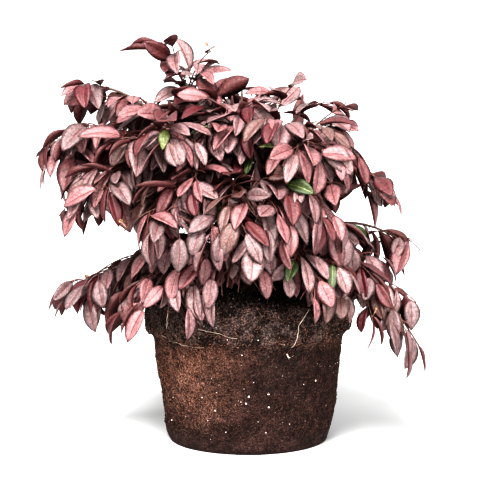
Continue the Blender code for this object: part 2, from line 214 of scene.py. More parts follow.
def addNode(tree, kind, inputs=None, **settings):
    # a node with its settings; each input is a value or another node's output
    made = tree.nodes.new(kind)
    for label, value in settings.items():
        setattr(made, label, value)
    for label, value in (inputs or {}).items():
        if isinstance(value, bpy.types.NodeSocket):
            tree.links.new(value, made.inputs[label])
        else:
            made.inputs[label].default_value = value
    return made


def ramp(tree, factor, stops):
    # colours along a factor: (place from 0 to 1, colour) pairs
    made = addNode(tree, "ShaderNodeValToRGB", {"Fac": factor})
    bar = made.color_ramp.elements
    for i, (place, colour) in enumerate(stops):
        stop = bar[i] if i < 2 else bar.new(place)
        stop.position = place
        stop.color = (*colour, 1.0)
    return made.outputs["Color"]


def noise(tree, coordinates, scale, detail=2.0, distortion=0.0):
    # cloudy noise from 0 to 1, with that many cells to the metre
    inputs = {"Vector": coordinates, "Scale": scale, "Detail": detail, "Distortion": distortion}
    return addNode(tree, "ShaderNodeTexNoise", inputs).outputs["Fac"]


def combine(tree, operation, *values):
    # a sum, product or the like of outputs and plain numbers
    made = tree.nodes.new("ShaderNodeMath")
    made.operation = operation
    for socket, value in zip(made.inputs, values):
        if isinstance(value, bpy.types.NodeSocket):
            tree.links.new(value, socket)
        else:
            socket.default_value = value
    return made.outputs[0]


def newMaterial(name, roughness, specular=0.5):
    # (material, tree, shader, object coordinates) of a Principled material
    material = bpy.data.materials.new(name)
    material.use_nodes = True
    tree = material.node_tree
    shader = tree.nodes["Principled BSDF"]
    shader.inputs["Roughness"].default_value = roughness
    shader.inputs["Specular IOR Level"].default_value = specular
    place = tree.nodes.new("ShaderNodeTexCoord").outputs["Object"]
    return material, tree, shader, place


def setBump(tree, shader, height, distance, strength=1.0):
    # fine relief from a height pattern, by the normal alone
    bump = addNode(tree, "ShaderNodeBump", {"Height": height, "Distance": distance, "Strength": strength})
    tree.links.new(bump.outputs["Normal"], shader.inputs["Normal"])


def shaded(tree, colour, shade):
    # one colour times another
    made = addNode(tree, "ShaderNodeMix", data_type="RGBA", blend_type="MULTIPLY")
    made.inputs[0].default_value = 1.0
    tree.links.new(colour, made.inputs[6])
    tree.links.new(shade, made.inputs[7])
    return made.outputs[2]


def withPaintedShade(tree, colour):
    # painted shade: darker as the mesh's own share of painted shade grows
    paintedShade = addNode(tree, "ShaderNodeAttribute", attribute_name="paintedShade").outputs["Fac"]
    return shaded(tree, colour, ramp(tree, paintedShade, [(0.0, (1.0, 1.0, 1.0)), (1.0, (0.25, 0.235, 0.26))]))


def scaledTone(colour, share):
    # a colour times a share, each channel at most 1
    return tuple(min(1.0, channel * share) for channel in colour)


# Studio: the camera of the photograph, a plain pale floor, soft light

studio = dict(
    aim=(0.002, 0.0, 0.247), distance=2.2, elevation=7.0, lens=122.0,
    floorRadius=14.0, floorSides=96, floorColour=(0.42, 0.42, 0.42),
    skyColour=(1.0, 1.0, 1.0), skyStrength=1.10,
)
# where each light comes from, its strength and its spread in degrees
lights = dict(
    keyLight=((-0.5, -1.8, 2.2), 6.8, 24),
    frontLight=((0.7, -2.0, 0.55), 4.1, 40),
)


def buildStudio():
    # the camera stands on the object's -Y side, and looks a little down at the aim
    rise = math.radians(studio["elevation"])
    aim = Vector(studio["aim"])
    back = Vector((0, -math.cos(rise), math.sin(rise)))
    lens = bpy.data.cameras.new("camera")
    lens.lens = studio["lens"]
    camera = bpy.data.objects.new("camera", lens)
    camera.location = aim + back * studio["distance"]
    camera.rotation_euler = (-back).to_track_quat("-Z", "Y").to_euler()
    bpy.context.scene.collection.objects.link(camera)
    bpy.context.scene.camera = camera

    turn = np.arange(studio["floorSides"]) * 2 * np.pi / studio["floorSides"]
    rim = np.stack([np.cos(turn), np.sin(turn), turn * 0], -1) * studio["floorRadius"]
    mesh = bpy.data.meshes.new("floor")
    mesh.from_pydata(rim.tolist(), [], [list(range(studio["floorSides"]))])
    floor = bpy.data.objects.new("floor", mesh)
    bpy.context.scene.collection.objects.link(floor)
    material, _, shader, _ = newMaterial("floor", 0.85, 0.2)
    shader.inputs["Base Color"].default_value = (*studio["floorColour"], 1)
    mesh.materials.append(material)

    world = bpy.data.worlds.new("world")
    world.use_nodes = True
    background = world.node_tree.nodes["Background"]
    background.inputs["Color"].default_value = (*studio["skyColour"], 1)
    background.inputs["Strength"].default_value = studio["skyStrength"]
    bpy.context.scene.world = world
    bpy.context.scene.view_settings.view_transform = "Standard"
    bpy.context.scene.view_settings.look = "Very High Contrast"


def softLight(name, fromPlace, strength, spread):
    # a broad even light out of one direction, its shadows blurred by its spread
    lamp = bpy.data.lights.new(name, "SUN")
    lamp.energy = strength
    lamp.angle = math.radians(spread)
    light = bpy.data.objects.new(name, lamp)
    light.location = fromPlace
    light.rotation_euler = (-Vector(fromPlace)).to_track_quat("-Z", "Y").to_euler()
    bpy.context.scene.collection.objects.link(light)


buildStudio()
for lightName, lightSettings in lights.items():
    softLight(lightName, *lightSettings)
print("studio ready")


# Root ball: an outline turned round the axis, with lumps and crumbs worked out from soft noise

ball = dict(
    height=0.195, bandTop=0.1345, bandFoot=0.1335, bandHeight=0.050, bodyTop=0.1235, bodyFoot=0.1055,
    edge=0.006, seat=0.045, midway=0.090, dip=0.004,
    rows=170, columns=400, rounding=6,
    lumps=((3, 40, 1.0), (7, -90, 0.6)), lumpHeight=0.0012, dents=((0.0012, 0.028, 1),), dentDepth=0.0045,
    soil=(0.048, 0.036, 0.032), crumb=(0.170, 0.126, 0.114), mat=(0.162, 0.078, 0.052),
    darkPatch=(0.052, -0.112, 0.128), patchReach=0.085, lumpRoom=0.0035,
)
# each layer of crumbs: its height, how much higher it is on the band and the top, its cell and its seed
crumbLayers = ((0.0007, 0.0010, 0.011, 2), (0.0006, 0.0007, 0.0055, 3), (0.0006, 0.0003, 0.0034, 4))
matRule = dict(
    rise=0.002, edges=((0.009, 0.035, 5), (0.012, 0.011, 12)), fade=(-0.028, 0.012),
    cover=1.05, patches=((0.12, 0.060, 8), (0.15, 0.018, 9)), dark=0.5, darkCore=0.2,
)
# where painted shade falls on the root ball: its side towards +X below the band, turned from the key light,
# and its foot
paintedShadeRule = dict(
    sway=((0.03, 0.05, 10),), across=(-0.085, 0.040), belowBand=(0.125, 0.150), side=0.95,
    nearFoot=(0.005, 0.11), foot=0.92,
)


def ballOutline():
    # (radius, height) from the middle of the underside, up the side, to the middle of the top, at even
    # steps, with its corners rounded by averaging neighbours
    bandFoot = ball["height"] - ball["bandHeight"]
    top = ball["height"] - ball["dip"]
    marks = np.array([
        (0, 0),
        (ball["bodyFoot"] - ball["edge"] / 2, 0),
        (ball["bodyFoot"], ball["edge"] / 2),
        ((ball["bodyFoot"] + ball["bodyTop"]) / 2, bandFoot / 2),
        (ball["bodyTop"], bandFoot - ball["edge"]),
        (ball["bandFoot"], bandFoot),
        (ball["bandTop"], top - ball["edge"]),
        (ball["bandTop"] - ball["edge"], top),
        (ball["midway"], ball["height"] - ball["dip"] / 2),
        (ball["seat"], ball["height"]),
        (0, ball["height"]),
    ])
    run = np.concatenate([[0], np.cumsum(np.linalg.norm(np.diff(marks, axis=0), axis=1))])
    steps = np.linspace(0, run[-1], ball["rows"])
    outline = np.stack([np.interp(steps, run, marks[:, 0]), np.interp(steps, run, marks[:, 1])], -1)
    for _ in range(ball["rounding"]):
        rounder = (outline[:-2] + outline[1:-1] * 2 + outline[2:]) / 4
        flat = outline[1:-1, 1] <= 0
        outline[1:-1] = np.where(flat[:, None], outline[1:-1], rounder)
    outline[:, 1] = np.maximum(outline[:, 1], 0)
    return outline, run[-1]


outline, outlineLength = ballOutline()
outlineShare = np.linspace(0, 1, len(outline))
outlineWay = unit(np.gradient(outline, axis=0))
sideFrom, sideTo = 0.284, 0.735  # shares of the outline between which the ball's side lies


def matShare(points):
    # how much of the surface the root mat covers: full on the lower body, patchy above, none on the band
    # and the top
    bandFoot = ball["height"] - ball["bandHeight"]
    edge = bandFoot + matRule["rise"] + layered(points, matRule["edges"])
    below = 1 - smoothStep(points[..., 2], edge + matRule["fade"][0], edge + matRule["fade"][1])
    patches = matRule["cover"] + layered(points, matRule["patches"])
    away = np.linalg.norm(points - ball["darkPatch"], axis=-1)
    reach = ball["patchReach"]
    dark = matRule["dark"] * (1 - smoothStep(away, matRule["darkCore"] * reach, reach))
    return np.clip(below * (patches - dark), 0, 1)


def paintedShadeShare(points):
    # the share of painted shade on the root ball and the threads on it: more towards +X, the side turned
    # away from the key light, and towards the foot
    aside = smoothStep(points[..., 0] + layered(points, paintedShadeRule["sway"]), *paintedShadeRule["across"])
    below = 1 - smoothStep(points[..., 2], *paintedShadeRule["belowBand"])
    nearFoot = 1 - smoothStep(points[..., 2], *paintedShadeRule["nearFoot"])
    return np.minimum(paintedShadeRule["side"] * aside * below + paintedShadeRule["foot"] * nearFoot, 1)


def ballWaves(points):
    # low waves round the ball and broad dents
    turn = np.arctan2(points[..., 1], points[..., 0])
    waves = sum(
        share * np.sin(count * turn + twist * points[..., 2]) for count, twist, share in ball["lumps"])
    return ball["lumpHeight"] * waves + layered(points, ball["dents"])


def ballRelief(points, waves=True):
    # the waves, with lumps and crumbs, coarser on the band and the top, none on the underside
    radius = np.hypot(points[..., 0], points[..., 1])
    height = points[..., 2]
    coarse = smoothStep(height, ball["height"] - ball["bandHeight"] - 0.012, ball["height"] - 0.03)
    relief = sum(
        (low + more * coarse) * softNoise(points, cell, seed) for low, more, cell, seed in crumbLayers)
    foot = 1 - smoothStep(np.abs(height - (ball["height"] - ball["bandHeight"] + 0.004)), 0.003, 0.012)
    relief += foot * 0.0030 * softNoise(points, 0.010, 6)
    if waves:
        relief += ballWaves(points)
    seat = smoothStep(radius, 0.012, 0.030)
    return relief * smoothStep(height, 0.0, 0.007) * np.where(height > ball["height"] - 0.01, seat, 1)


def ballSurface(turn, share):
    # (points, outward directions) on the ball, at turns round it and shares of its outline
    radius = np.interp(share, outlineShare, outline[:, 0])
    height = np.interp(share, outlineShare, outline[:, 1])
    wayOut = np.interp(share, outlineShare, outlineWay[:, 1])
    wayUp = np.interp(share, outlineShare, -outlineWay[:, 0])
    points = np.stack([radius * np.cos(turn), radius * np.sin(turn), height + 0 * turn], -1)
    outward = unit(np.stack([wayOut * np.cos(turn), wayOut * np.sin(turn), wayUp + 0 * turn], -1))
    return points + outward * ballRelief(points)[..., None], outward


def ballMaterial():
    # dark moist soil under a mat of fine roots: the mat's share comes from the mesh, and inside each the
    # tone breaks up into crumbs and hair-thin threads; painted shade darkens the dents, and more painted
    # shade darkens the +X side and the foot
    material, tree, shader, place = newMaterial("rootBallSoil", 0.93, 0.25)
    share = addNode(tree, "ShaderNodeAttribute", attribute_name="mat").outputs["Fac"]
    dent = addNode(tree, "ShaderNodeAttribute", attribute_name="dent").outputs["Fac"]
    threads = noise(tree, place, 540, 3, 2.2)
    crumbs = noise(tree, place, 480, 4, 0.6)
    soil = ramp(tree, crumbs, [(0.45, scaledTone(ball["soil"], 0.4)), (0.64, ball["crumb"])])
    dark = scaledTone(ball["mat"], 0.10)
    pale = tuple(channel * 1.6 + 0.08 for channel in ball["mat"])
    roots = ramp(tree, threads, [(0.44, dark), (0.60, pale), (0.53, ball["mat"])])
    broken = combine(tree, "MULTIPLY_ADD", combine(tree, "SUBTRACT", crumbs, 0.5), 1.6, share)
    mixed = addNode(tree, "ShaderNodeMix", data_type="RGBA", clamp_factor=True)
    tree.links.new(broken, mixed.inputs[0])
    tree.links.new(soil, mixed.inputs[6])
    tree.links.new(roots, mixed.inputs[7])
    # painted shade: darker in the dents of the surface
    paintedHollowShade = ramp(tree, dent, [(0.25, (0.25, 0.22, 0.20)), (0.62, (1, 1, 1))])
    broad = ramp(tree, noise(tree, place, 15, 2), [(0.34, (0.80, 0.76, 0.78)), (0.64, (1.0, 1.0, 1.0))])
    colour = shaded(tree, shaded(tree, mixed.outputs[2], paintedHollowShade), broad)
    # painted shade: darker towards +X and towards the foot
    tree.links.new(withPaintedShade(tree, colour), shader.inputs["Base Color"])
    setBump(tree, shader, combine(tree, "ADD", threads, crumbs), 0.0012, 0.9)
    return material


def buildBall():
    # a grid of corners over turn and outline, with a pole at each end; dent is 0.5 on the plain outline
    turn, share = np.meshgrid(
        np.arange(ball["columns"]) * 2 * np.pi / ball["columns"], outlineShare[1:-1], indexing="xy")
    points, _ = ballSurface(turn, share)
    points[..., 2] = np.maximum(points[..., 2], 0)
    corners = np.concatenate([points.reshape(-1, 3), [(0, 0, 0)], [(0, 0, ball["height"])]])
    rows, foot = len(outlineShare) - 2, len(corners) - 2
    walls = gridFaces(rows, ball["columns"], wrap=True)
    ends = poleFaces(rows, ball["columns"], foot, foot + 1)
    dent = 0.5 + ballRelief(corners, False) / ball["dentDepth"]
    faceSets = [(walls, 0), (ends, 0)]
    # paintedShade is the share of painted shade at each corner
    values = {"mat": matShare(corners), "dent": dent, "paintedShade": paintedShadeShare(corners)}
    piece = makePiece("rootBall", corners, faceSets, [ballMaterial()], values=values)
    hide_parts("root_ball")


buildBall()


# Roots on the ball: threads that wander over it and dip in and out, each kind with its own count

rootKinds = dict(
    matRoots=dict(count=5600, steps=7, step=0.0022, radius=(0.00022, 0.00044), wander=0.75, level=0.4,
                  zone=(sideFrom, 0.72), needs=0.30, stray=0.35, lift=0.00010, dip=0.0006,
                  colour=(0.186, 0.092, 0.062), seed=11),
    darkRoots=dict(count=3200, steps=6, step=0.0022, radius=(0.00025, 0.00050), wander=0.75, level=0.4,
                   zone=(sideFrom, 0.70), needs=0.0, lift=0.00010, dip=0.0006,
                   colour=(0.030, 0.015, 0.010), seed=12),
    paleRoots=dict(count=110, steps=12, step=0.0034, radius=(0.00016, 0.00030), wander=0.35, level=0.5,
                   zone=(sideFrom, 0.90), needs=0.0, lift=0.0002, dip=0.0006,
                   colour=(0.20, 0.13, 0.10), seed=13),
)


def rootThreads(kind):
    # a start anywhere in the zone, then equal steps along a heading that drifts at random. A kind that
    # needs the mat stays where the mat is dense enough, and a stray share of it anywhere.
    draw = np.random.default_rng(kind["seed"])
    count, steps = kind["count"], kind["steps"]
    low, high = kind["zone"]
    level = draw.choice([0.0, np.pi], count)
    loose = draw.uniform(0, 2 * np.pi, count)
    heading = np.where(draw.uniform(size=count) < kind["level"], level, loose)
    drift = np.cumsum(draw.normal(0, kind["wander"], (count, steps)), axis=1)
    heading = heading[:, None] + drift
    share = draw.uniform(low, high, count)[:, None]
    share = share + np.cumsum(np.sin(heading), axis=1) * kind["step"] / outlineLength
    share = np.clip(share, low, high)
    radius = np.maximum(np.interp(share, outlineShare, outline[:, 0]), 0.03)
    turn = draw.uniform(0, 2 * np.pi, count)[:, None]
    turn = turn + np.cumsum(np.cos(heading) * kind["step"] / radius, axis=1)
    points, outward = ballSurface(turn, share)
    if kind["needs"]:
        keep = matShare(points[:, steps // 2]) > draw.uniform(kind["needs"] * 0.4, kind["needs"] * 2, count)
        keep |= draw.uniform(size=count) < kind["stray"]
        points, outward = points[keep], outward[keep]
        count = len(points)
    beat = np.linspace(0, 1, steps) * draw.uniform(1.0, 2.5, count)[:, None]
    beat = beat + draw.uniform(size=count)[:, None]
    lift = kind["lift"] + kind["dip"] * np.sin(2 * np.pi * beat)
    paths = points + outward * lift[..., None]
    thick = draw.uniform(*kind["radius"], count)[:, None] * np.linspace(1, 0.6, steps)
    return tubes(paths, thick, 3, outward)


# single pale roots that stand out: (azimuth in degrees, height) along each, and its thickness
looseRoots = [
    ([(305.6, 0.188), (301, 0.178), (297.6, 0.168), (297.3, 0.158), (296.0, 0.149), (294.3, 0.140)],
     0.00055),
    ([(221.5, 0.178), (220.8, 0.171), (221.3, 0.164), (220.9, 0.159)], 0.00060),
    ([(243, 0.164), (248, 0.161), (254, 0.160), (259, 0.155), (264, 0.154)], 0.00035),
    ([(292.8, 0.131), (293.4, 0.128), (293.9, 0.126)], 0.0011),
    ([(214, 0.147), (221, 0.143), (228, 0.141), (236, 0.136), (243, 0.137)], 0.00030),
]


def looseRootShapes():
    # each root follows its marks on a smooth line, and lies just on the ball
    parts = []
    for marks, thick in looseRoots:
        marks = np.array(marks)
        spots = np.linspace(0, len(marks) - 1, 24)
        turn = np.radians(np.interp(spots, np.arange(len(marks)), marks[:, 0]))
        height = np.interp(spots, np.arange(len(marks)), marks[:, 1])
        for _ in range(4):
            turn[1:-1] = (turn[:-2] + turn[1:-1] * 2 + turn[2:]) / 4
            height[1:-1] = (height[:-2] + height[1:-1] * 2 + height[2:]) / 4
        side = slice(*np.searchsorted(outlineShare, (sideFrom, sideTo)))
        share = np.interp(height, outline[side, 1], outlineShare[side])
        points, outward = ballSurface(turn, share)
        paths = (points + outward * (thick * 0.9 + 0.0004))[None]
        radii = np.linspace(thick, thick * 0.6, len(spots))[None]
        parts.append(tubes(paths, radii, 6, outward[None]))
    return joined(parts)


def rootMaterial(name, colour, pace=560, dark=0.08, pale=2.1):
    # one brown, which breaks up into dark and pale lengths along the thread, darkened by the ball's painted
    # shade
    material, tree, shader, place = newMaterial(name, 0.8, 0.3)
    tone = noise(tree, place, pace, 2)
    stops = [(0.40, scaledTone(colour, dark)), (0.62, scaledTone(colour, pale))]
    # painted shade: darker towards +X and the foot of the ball
    tree.links.new(withPaintedShade(tree, ramp(tree, tone, stops)), shader.inputs["Base Color"])
    setBump(tree, shader, noise(tree, place, 1500, 2), 0.0002)
    return material


for rootName, rootKind in rootKinds.items():
    threadCorners, threadFaces = rootThreads(rootKind)
    finish = rootMaterial(rootName, rootKind["colour"])
    # the share of painted shade at each corner of the threads
    values = {"paintedShade": paintedShadeShare(threadCorners)}
    thread = makePiece(rootName, threadCorners, threadFaces, [finish], values=values)
looseRootSkin = rootMaterial("looseRoots", (0.46, 0.38, 0.31), 160, 0.70, 1.25)
looseRootPiece = makePiece("looseRoots", *looseRootShapes(), [looseRootSkin])


# Loose bits set in the ball: crumbs of soil, chips of bark and white perlite

bitKinds = dict(
    soilCrumbs=dict(count=3600, size=(0.0008, 0.0024), flat=(0.6, 1.0), zone=(0.58, 0.99), sink=0.30,
                    keptAnywhere=1.0, colour=(0.072, 0.050, 0.044), seed=21),
    bodyCrumbs=dict(count=2400, size=(0.0006, 0.0014), flat=(0.6, 1.0), zone=(sideFrom, 0.62), sink=0.30,
                    keptAnywhere=1.0, colour=(0.050, 0.026, 0.019), seed=22),
    barkChips=dict(count=130, size=(0.0022, 0.0050), flat=(0.22, 0.4), zone=(0.64, 0.99), sink=0.10,
                   keptAnywhere=1.0, colour=(0.080, 0.048, 0.035), seed=23),
    perlite=dict(count=900, size=(0.0003, 0.0016), flat=(0.7, 1.0), zone=(sideFrom, 0.99), sink=0.15,
                 keptAnywhere=0.15, colour=(0.56, 0.51, 0.46), seed=24, skew=2.8),
)


def roundShape(rings, columns):
    # (unit directions, quads, triangles) of a ball-like grid with a pole at each end
    fall = np.linspace(0, np.pi, rings + 2)[1:-1]
    turn = np.arange(columns) * 2 * np.pi / columns
    fall, turn = np.meshgrid(fall, turn, indexing="ij")
    grid = np.stack([np.sin(fall) * np.cos(turn), np.sin(fall) * np.sin(turn), np.cos(fall)], -1)
    corners = np.concatenate([grid.reshape(-1, 3), [(0, 0, 1)], [(0, 0, -1)]])
    pole = len(corners) - 2
    walls = gridFaces(rings, columns, wrap=True)[:, ::-1]
    ends = poleFaces(rings, columns, pole, pole + 1)[:, ::-1]
    return corners, walls, ends


def looseBits(kind):
    # dented balls of random size, most of them small where the skew is above 1, flattened along a random
    # tilt, set into the surface; keptAnywhere is the share of them that stays wherever it falls, and more
    # of them stay where the ball carries painted shade, and on the band
    draw = np.random.default_rng(kind["seed"])
    count = kind["count"]
    shape, walls, ends = roundShape(3, 6)
    share = draw.uniform(*kind["zone"], count)
    radius = np.interp(share, outlineShare, outline[:, 0])
    keep = draw.uniform(0, ball["bandTop"], count) < radius + 0.01  # evenly over the top's area
    share = share[keep]
    points, outward = ballSurface(draw.uniform(0, 2 * np.pi, len(share)), share)
    # the share of painted shade here, with the band counted in
    shadedShare = paintedShadeShare(points) + 0.8 * smoothStep(points[..., 2], 0.135, 0.155)
    keep = draw.uniform(size=len(share)) < kind["keptAnywhere"] + shadedShare
    points, outward = points[keep], outward[keep]
    count = len(points)
    low, high = kind["size"]
    size = low + (high - low) * draw.uniform(size=count) ** kind.get("skew", 1)
    size = size * draw.uniform(0.6, 1, count)
    axis = unit(outward + draw.normal(0, 0.35, (count, 3)))
    aside = unit(np.cross(axis, draw.normal(size=(count, 3))))
    across = np.cross(axis, aside)
    scale = np.stack([np.ones(count), draw.uniform(0.6, 1, count), draw.uniform(*kind["flat"], count)], -1)
    local = shape * draw.uniform(0.75, 1.2, (count, len(shape), 1)) * scale[:, None] * size[:, None, None]
    centre = points + outward * (size * (1 - 2 * kind["sink"]) * scale[:, 2])[:, None]
    axes = np.stack([aside, across, axis], 1)
    corners = centre[:, None] + np.einsum("nck,nkd->ncd", local, axes)
    each = len(shape)
    faceSets = [(stamped(walls, each, count), 0), (stamped(ends, each, count), 0)]
    return corners.reshape(-1, 3), faceSets


def bitMaterial(name, colour):
    # one colour with a fine grain, rough and dry
    material, tree, shader, place = newMaterial(name, 0.9, 0.25)
    grain = noise(tree, place, 420, 3)
    stops = [(0.40, scaledTone(colour, 0.30)), (0.62, scaledTone(colour, 1.6))]
    tree.links.new(ramp(tree, grain, stops), shader.inputs["Base Color"])
    setBump(tree, shader, noise(tree, place, 900, 3), 0.0004)
    return material


for bitName, bitKind in bitKinds.items():
    bitCorners, bitFaces = looseBits(bitKind)
    bits = makePiece(bitName, bitCorners, bitFaces, [bitMaterial(bitName, bitKind["colour"])])
print("root ball ready")


# Shoots: the same rule and sizes as the solids. A tier's boughs leave the trunk at one height above the
# soil, every second one lower by the stagger, and foliage starts at one share of the shoot's length.
# spread is the length of the longest side twigs and droop how far they hang, as a share of their length.

trunk = dict(
    height=0.104, radius=0.0115, headRadius=0.0080, flare=0.0065, flareHeight=0.016, lobes=5,
    lobeShare=0.10, lean=(-0.10, 0.03), clearance=0.0003, columns=64, rows=110,
)
tiers = dict(
    top=dict(attach=0.098, foliageFrom=0.32, spread=0.075, droop=0.25, hang=(-0.4, 0.5)),
    upper=dict(attach=0.080, foliageFrom=0.34, spread=0.090, droop=0.35, hang=(-0.2, 0.7)),
    mid=dict(attach=0.057, foliageFrom=0.38, spread=0.090, droop=0.45, hang=(-0.05, 0.8)),
    skirt=dict(attach=0.027, foliageFrom=0.40, spread=0.084, droop=0.50, hang=(0.35, 1.2)),
)
whorlStagger = 0.011
archShare = 0.50  # of the reach, where the height that draws the arch stands
boughRadius = 0.0036
stemRadius = 0.0024
stemTipRadius = 0.0010

# name, tier, azimuth in degrees, reach from the trunk, arch height and tip height above the soil
shoots = [
    ("top_left", "top", 178, 0.102, 0.238, 0.320),
    ("crown", "top", 90, 0.052, 0.215, 0.276),
    ("top_right", "top", 12, 0.100, 0.222, 0.241),
    ("top_front", "top", 262, 0.105, 0.250, 0.215),
    ("upper_left", "upper", 174, 0.218, 0.280, 0.262),
    ("upper_front_left", "upper", 226, 0.180, 0.275, 0.180),
    ("upper_front_right", "upper", 302, 0.162, 0.262, 0.180),
    ("upper_right", "upper", 350, 0.136, 0.258, 0.184),
    ("upper_back_right", "upper", 62, 0.158, 0.252, 0.182),
    ("upper_back_left", "upper", 118, 0.165, 0.270, 0.205),
    ("mid_left", "mid", 184, 0.252, 0.282, 0.171),
    ("mid_left_front", "mid", 210, 0.238, 0.250, 0.120),
    ("mid_front_left", "mid", 238, 0.208, 0.225, 0.095),
    ("mid_front", "mid", 261, 0.200, 0.220, 0.090),
    ("mid_front_right", "mid", 283, 0.202, 0.222, 0.092),
    ("mid_right_front", "mid", 305, 0.182, 0.225, 0.102),
    ("mid_right", "mid", 354, 0.187, 0.234, 0.132),
    ("mid_back_right", "mid", 58, 0.202, 0.225, 0.105),
    ("mid_back", "mid", 94, 0.215, 0.225, 0.105),
    ("mid_back_left", "mid", 136, 0.230, 0.235, 0.115),
    ("skirt_left", "skirt", 190, 0.234, 0.076, -0.002),
    ("skirt_front_left", "skirt", 230, 0.198, 0.120, -0.004),
    ("skirt_front", "skirt", 263, 0.185, 0.120, 0.030),
    ("skirt_front_right", "skirt", 299, 0.188, 0.120, 0.026),
    ("skirt_right_front", "skirt", 342, 0.230, 0.118, -0.062),
    ("skirt_right", "skirt", 12, 0.216, 0.130, 0.054),
    ("skirt_back_right", "skirt", 48, 0.205, 0.120, 0.005),
    ("skirt_back", "skirt", 96, 0.200, 0.120, 0.005),
    ("skirt_back_left", "skirt", 145, 0.210, 0.080, 0.004),
]


def trunkPoint(height):
    # a point on the leaning trunk's axis, at a height above the soil
    lean = np.array(trunk["lean"]) * height
    return np.array((lean[0], lean[1], ball["height"] + trunk["clearance"] + height))


def trunkRadius(height):
    # an even taper, with a flare over the soil where the first roots spread
    taper = trunk["radius"] + (trunk["headRadius"] - trunk["radius"]) * height / trunk["height"]
    return taper + trunk["flare"] * np.maximum(0, 1 - height / trunk["flareHeight"]) ** 2


def shootArc(shoot, place):
    # the shoot's curve in an upright plane, from the trunk to its tip, drawn towards the arch height
    _, tierName, azimuth, reach, arch, tipHeight = shoot
    turn = math.radians(azimuth)
    out = np.array((math.cos(turn), math.sin(turn), 0.0))
    attach = tiers[tierName]["attach"] - whorlStagger * (place % 2)
    axis = trunkPoint(attach)
    drawn = axis + out * reach * archShare
    drawn[2] = ball["height"] + arch
    tip = axis + out * reach
    tip[2] = ball["height"] + tipHeight
    rise = unit(drawn - axis)[2]
    start = axis + out * (trunkRadius(attach) + trunk["clearance"] + boughRadius * rise)
    return np.stack([start, drawn, tip])


shootArcs = {}
tierCounts = {}
for shoot in shoots:
    tierCounts[shoot[1]] = tierCounts.get(shoot[1], -1) + 1
    shootArcs[shoot[0]] = shootArc(shoot, tierCounts[shoot[1]])


# Bark: the trunk and the boughs, with long ridges, cracks between them and rings where leaves once stood

bark = dict(
    colour=(0.072, 0.044, 0.032), pale=(0.145, 0.100, 0.072), crack=(0.018, 0.010, 0.007),
    ridge=0.060, ripple=0.045, drawnOut=0.035, sunk=0.004, boughSunk=0.010,
)
limbRule = dict(grain=0.02, nodeGap=0.013, nodeSwell=0.16, nodeSharp=14)


def barkMaterial():
    # grey-brown, with dark cracks and pale ridges drawn out along the height
    material, tree, shader, place = newMaterial("barkFinish", 0.85, 0.3)
    stretched = addNode(tree, "ShaderNodeMapping", {"Vector": place, "Scale": (1, 1, 0.22)})
    grain = noise(tree, stretched.outputs["Vector"], 420, 5, 0.4)
    stops = [(0.32, bark["crack"]), (0.72, bark["pale"]), (0.5, bark["colour"])]
    tree.links.new(ramp(tree, grain, stops), shader.inputs["Base Color"])
    setBump(tree, shader, grain, 0.0006)
    return material


def trunkShape():
    # rings over turn and height, wider in the flare's lobes, with relief drawn out along the height
    height = np.linspace(-bark["sunk"], trunk["height"], trunk["rows"])[:, None]
    turn = (np.arange(trunk["columns"]) * 2 * np.pi / trunk["columns"])[None]
    above = np.maximum(height, 0)
    lobes = trunk["lobeShare"] * np.maximum(0, 1 - above / trunk["flareHeight"])
    radius = trunkRadius(above) * (1 + lobes * np.cos(trunk["lobes"] * turn))
    along = height / bark["drawnOut"] + 0 * turn
    flat = np.stack([np.cos(turn) + 0 * height, np.sin(turn) + 0 * height, along], -1)
    ridges = 1 - 2 * np.abs(softNoise(flat, 0.22, 31))
    radius = radius * (1 + bark["ridge"] * ridges + bark["ripple"] * softNoise(flat, 0.10, 32))
    lean = np.array(trunk["lean"])
    x = lean[0] * height + radius * np.cos(turn)
    y = lean[1] * height + radius * np.sin(turn)
    z = ball["height"] + height + 0 * turn
    rings = np.stack([x, y, z], -1)
    middle = trunkPoint(trunk["height"]) + (0, 0, 0.003)
    corners = np.concatenate([rings.reshape(-1, 3), [trunkPoint(-0.006)], [middle]])
    foot = len(corners) - 2
    walls = gridFaces(trunk["rows"], trunk["columns"], wrap=True)
    ends = poleFaces(trunk["rows"], trunk["columns"], foot, foot + 1)
    return corners, [(walls, 0), (ends, 0)]


def limbShapes(arcs, first, last, footRadius, tipRadius, points, sides, seed, ridge=0.10):
    # tapering limbs along parts of their curves, with ridges along them and swollen rings at the nodes
    count = len(arcs)
    stacked = np.stack(arcs, 1)[:, :, None]
    t = np.asarray(first)[:, None] + (np.asarray(last) - first)[:, None] * np.linspace(0, 1, points)
    paths = arcPoint(stacked, t)
    chord = unit(paths[:, -1] - paths[:, 0])
    aside = unit(np.cross(chord, up) + np.array((1e-6, 0, 0)))
    facing = np.cross(aside, chord)[:, None]
    share = np.linspace(0, 1, points)
    radius = footRadius[:, None] + (tipRadius - footRadius)[:, None] * share
    turn = np.arange(sides) * 2 * np.pi / sides
    wheel = np.stack([np.cos(turn), np.sin(turn)], -1)
    lengths = np.linalg.norm(np.diff(paths, axis=1), axis=-1).sum(1)
    along = lengths[:, None, None] * share[None, :, None] / limbRule["grain"]
    along = along + np.arange(count)[:, None, None] * 7.7
    field = np.concatenate([np.broadcast_to(wheel, (count, points, sides, 2)),
                            np.broadcast_to(along[..., None], (count, points, sides, 1))], -1)
    relief = 1 + ridge * softNoise(field, 0.45, seed) + ridge * 0.6 * softNoise(field, 0.2, seed + 1)
    node = np.abs(np.sin(np.pi * lengths[:, None] * share / limbRule["nodeGap"])) ** limbRule["nodeSharp"]
    relief = relief * (1 + limbRule["nodeSwell"] * node)[:, :, None]
    return tubes(paths, radius[..., None] * relief, sides, facing)


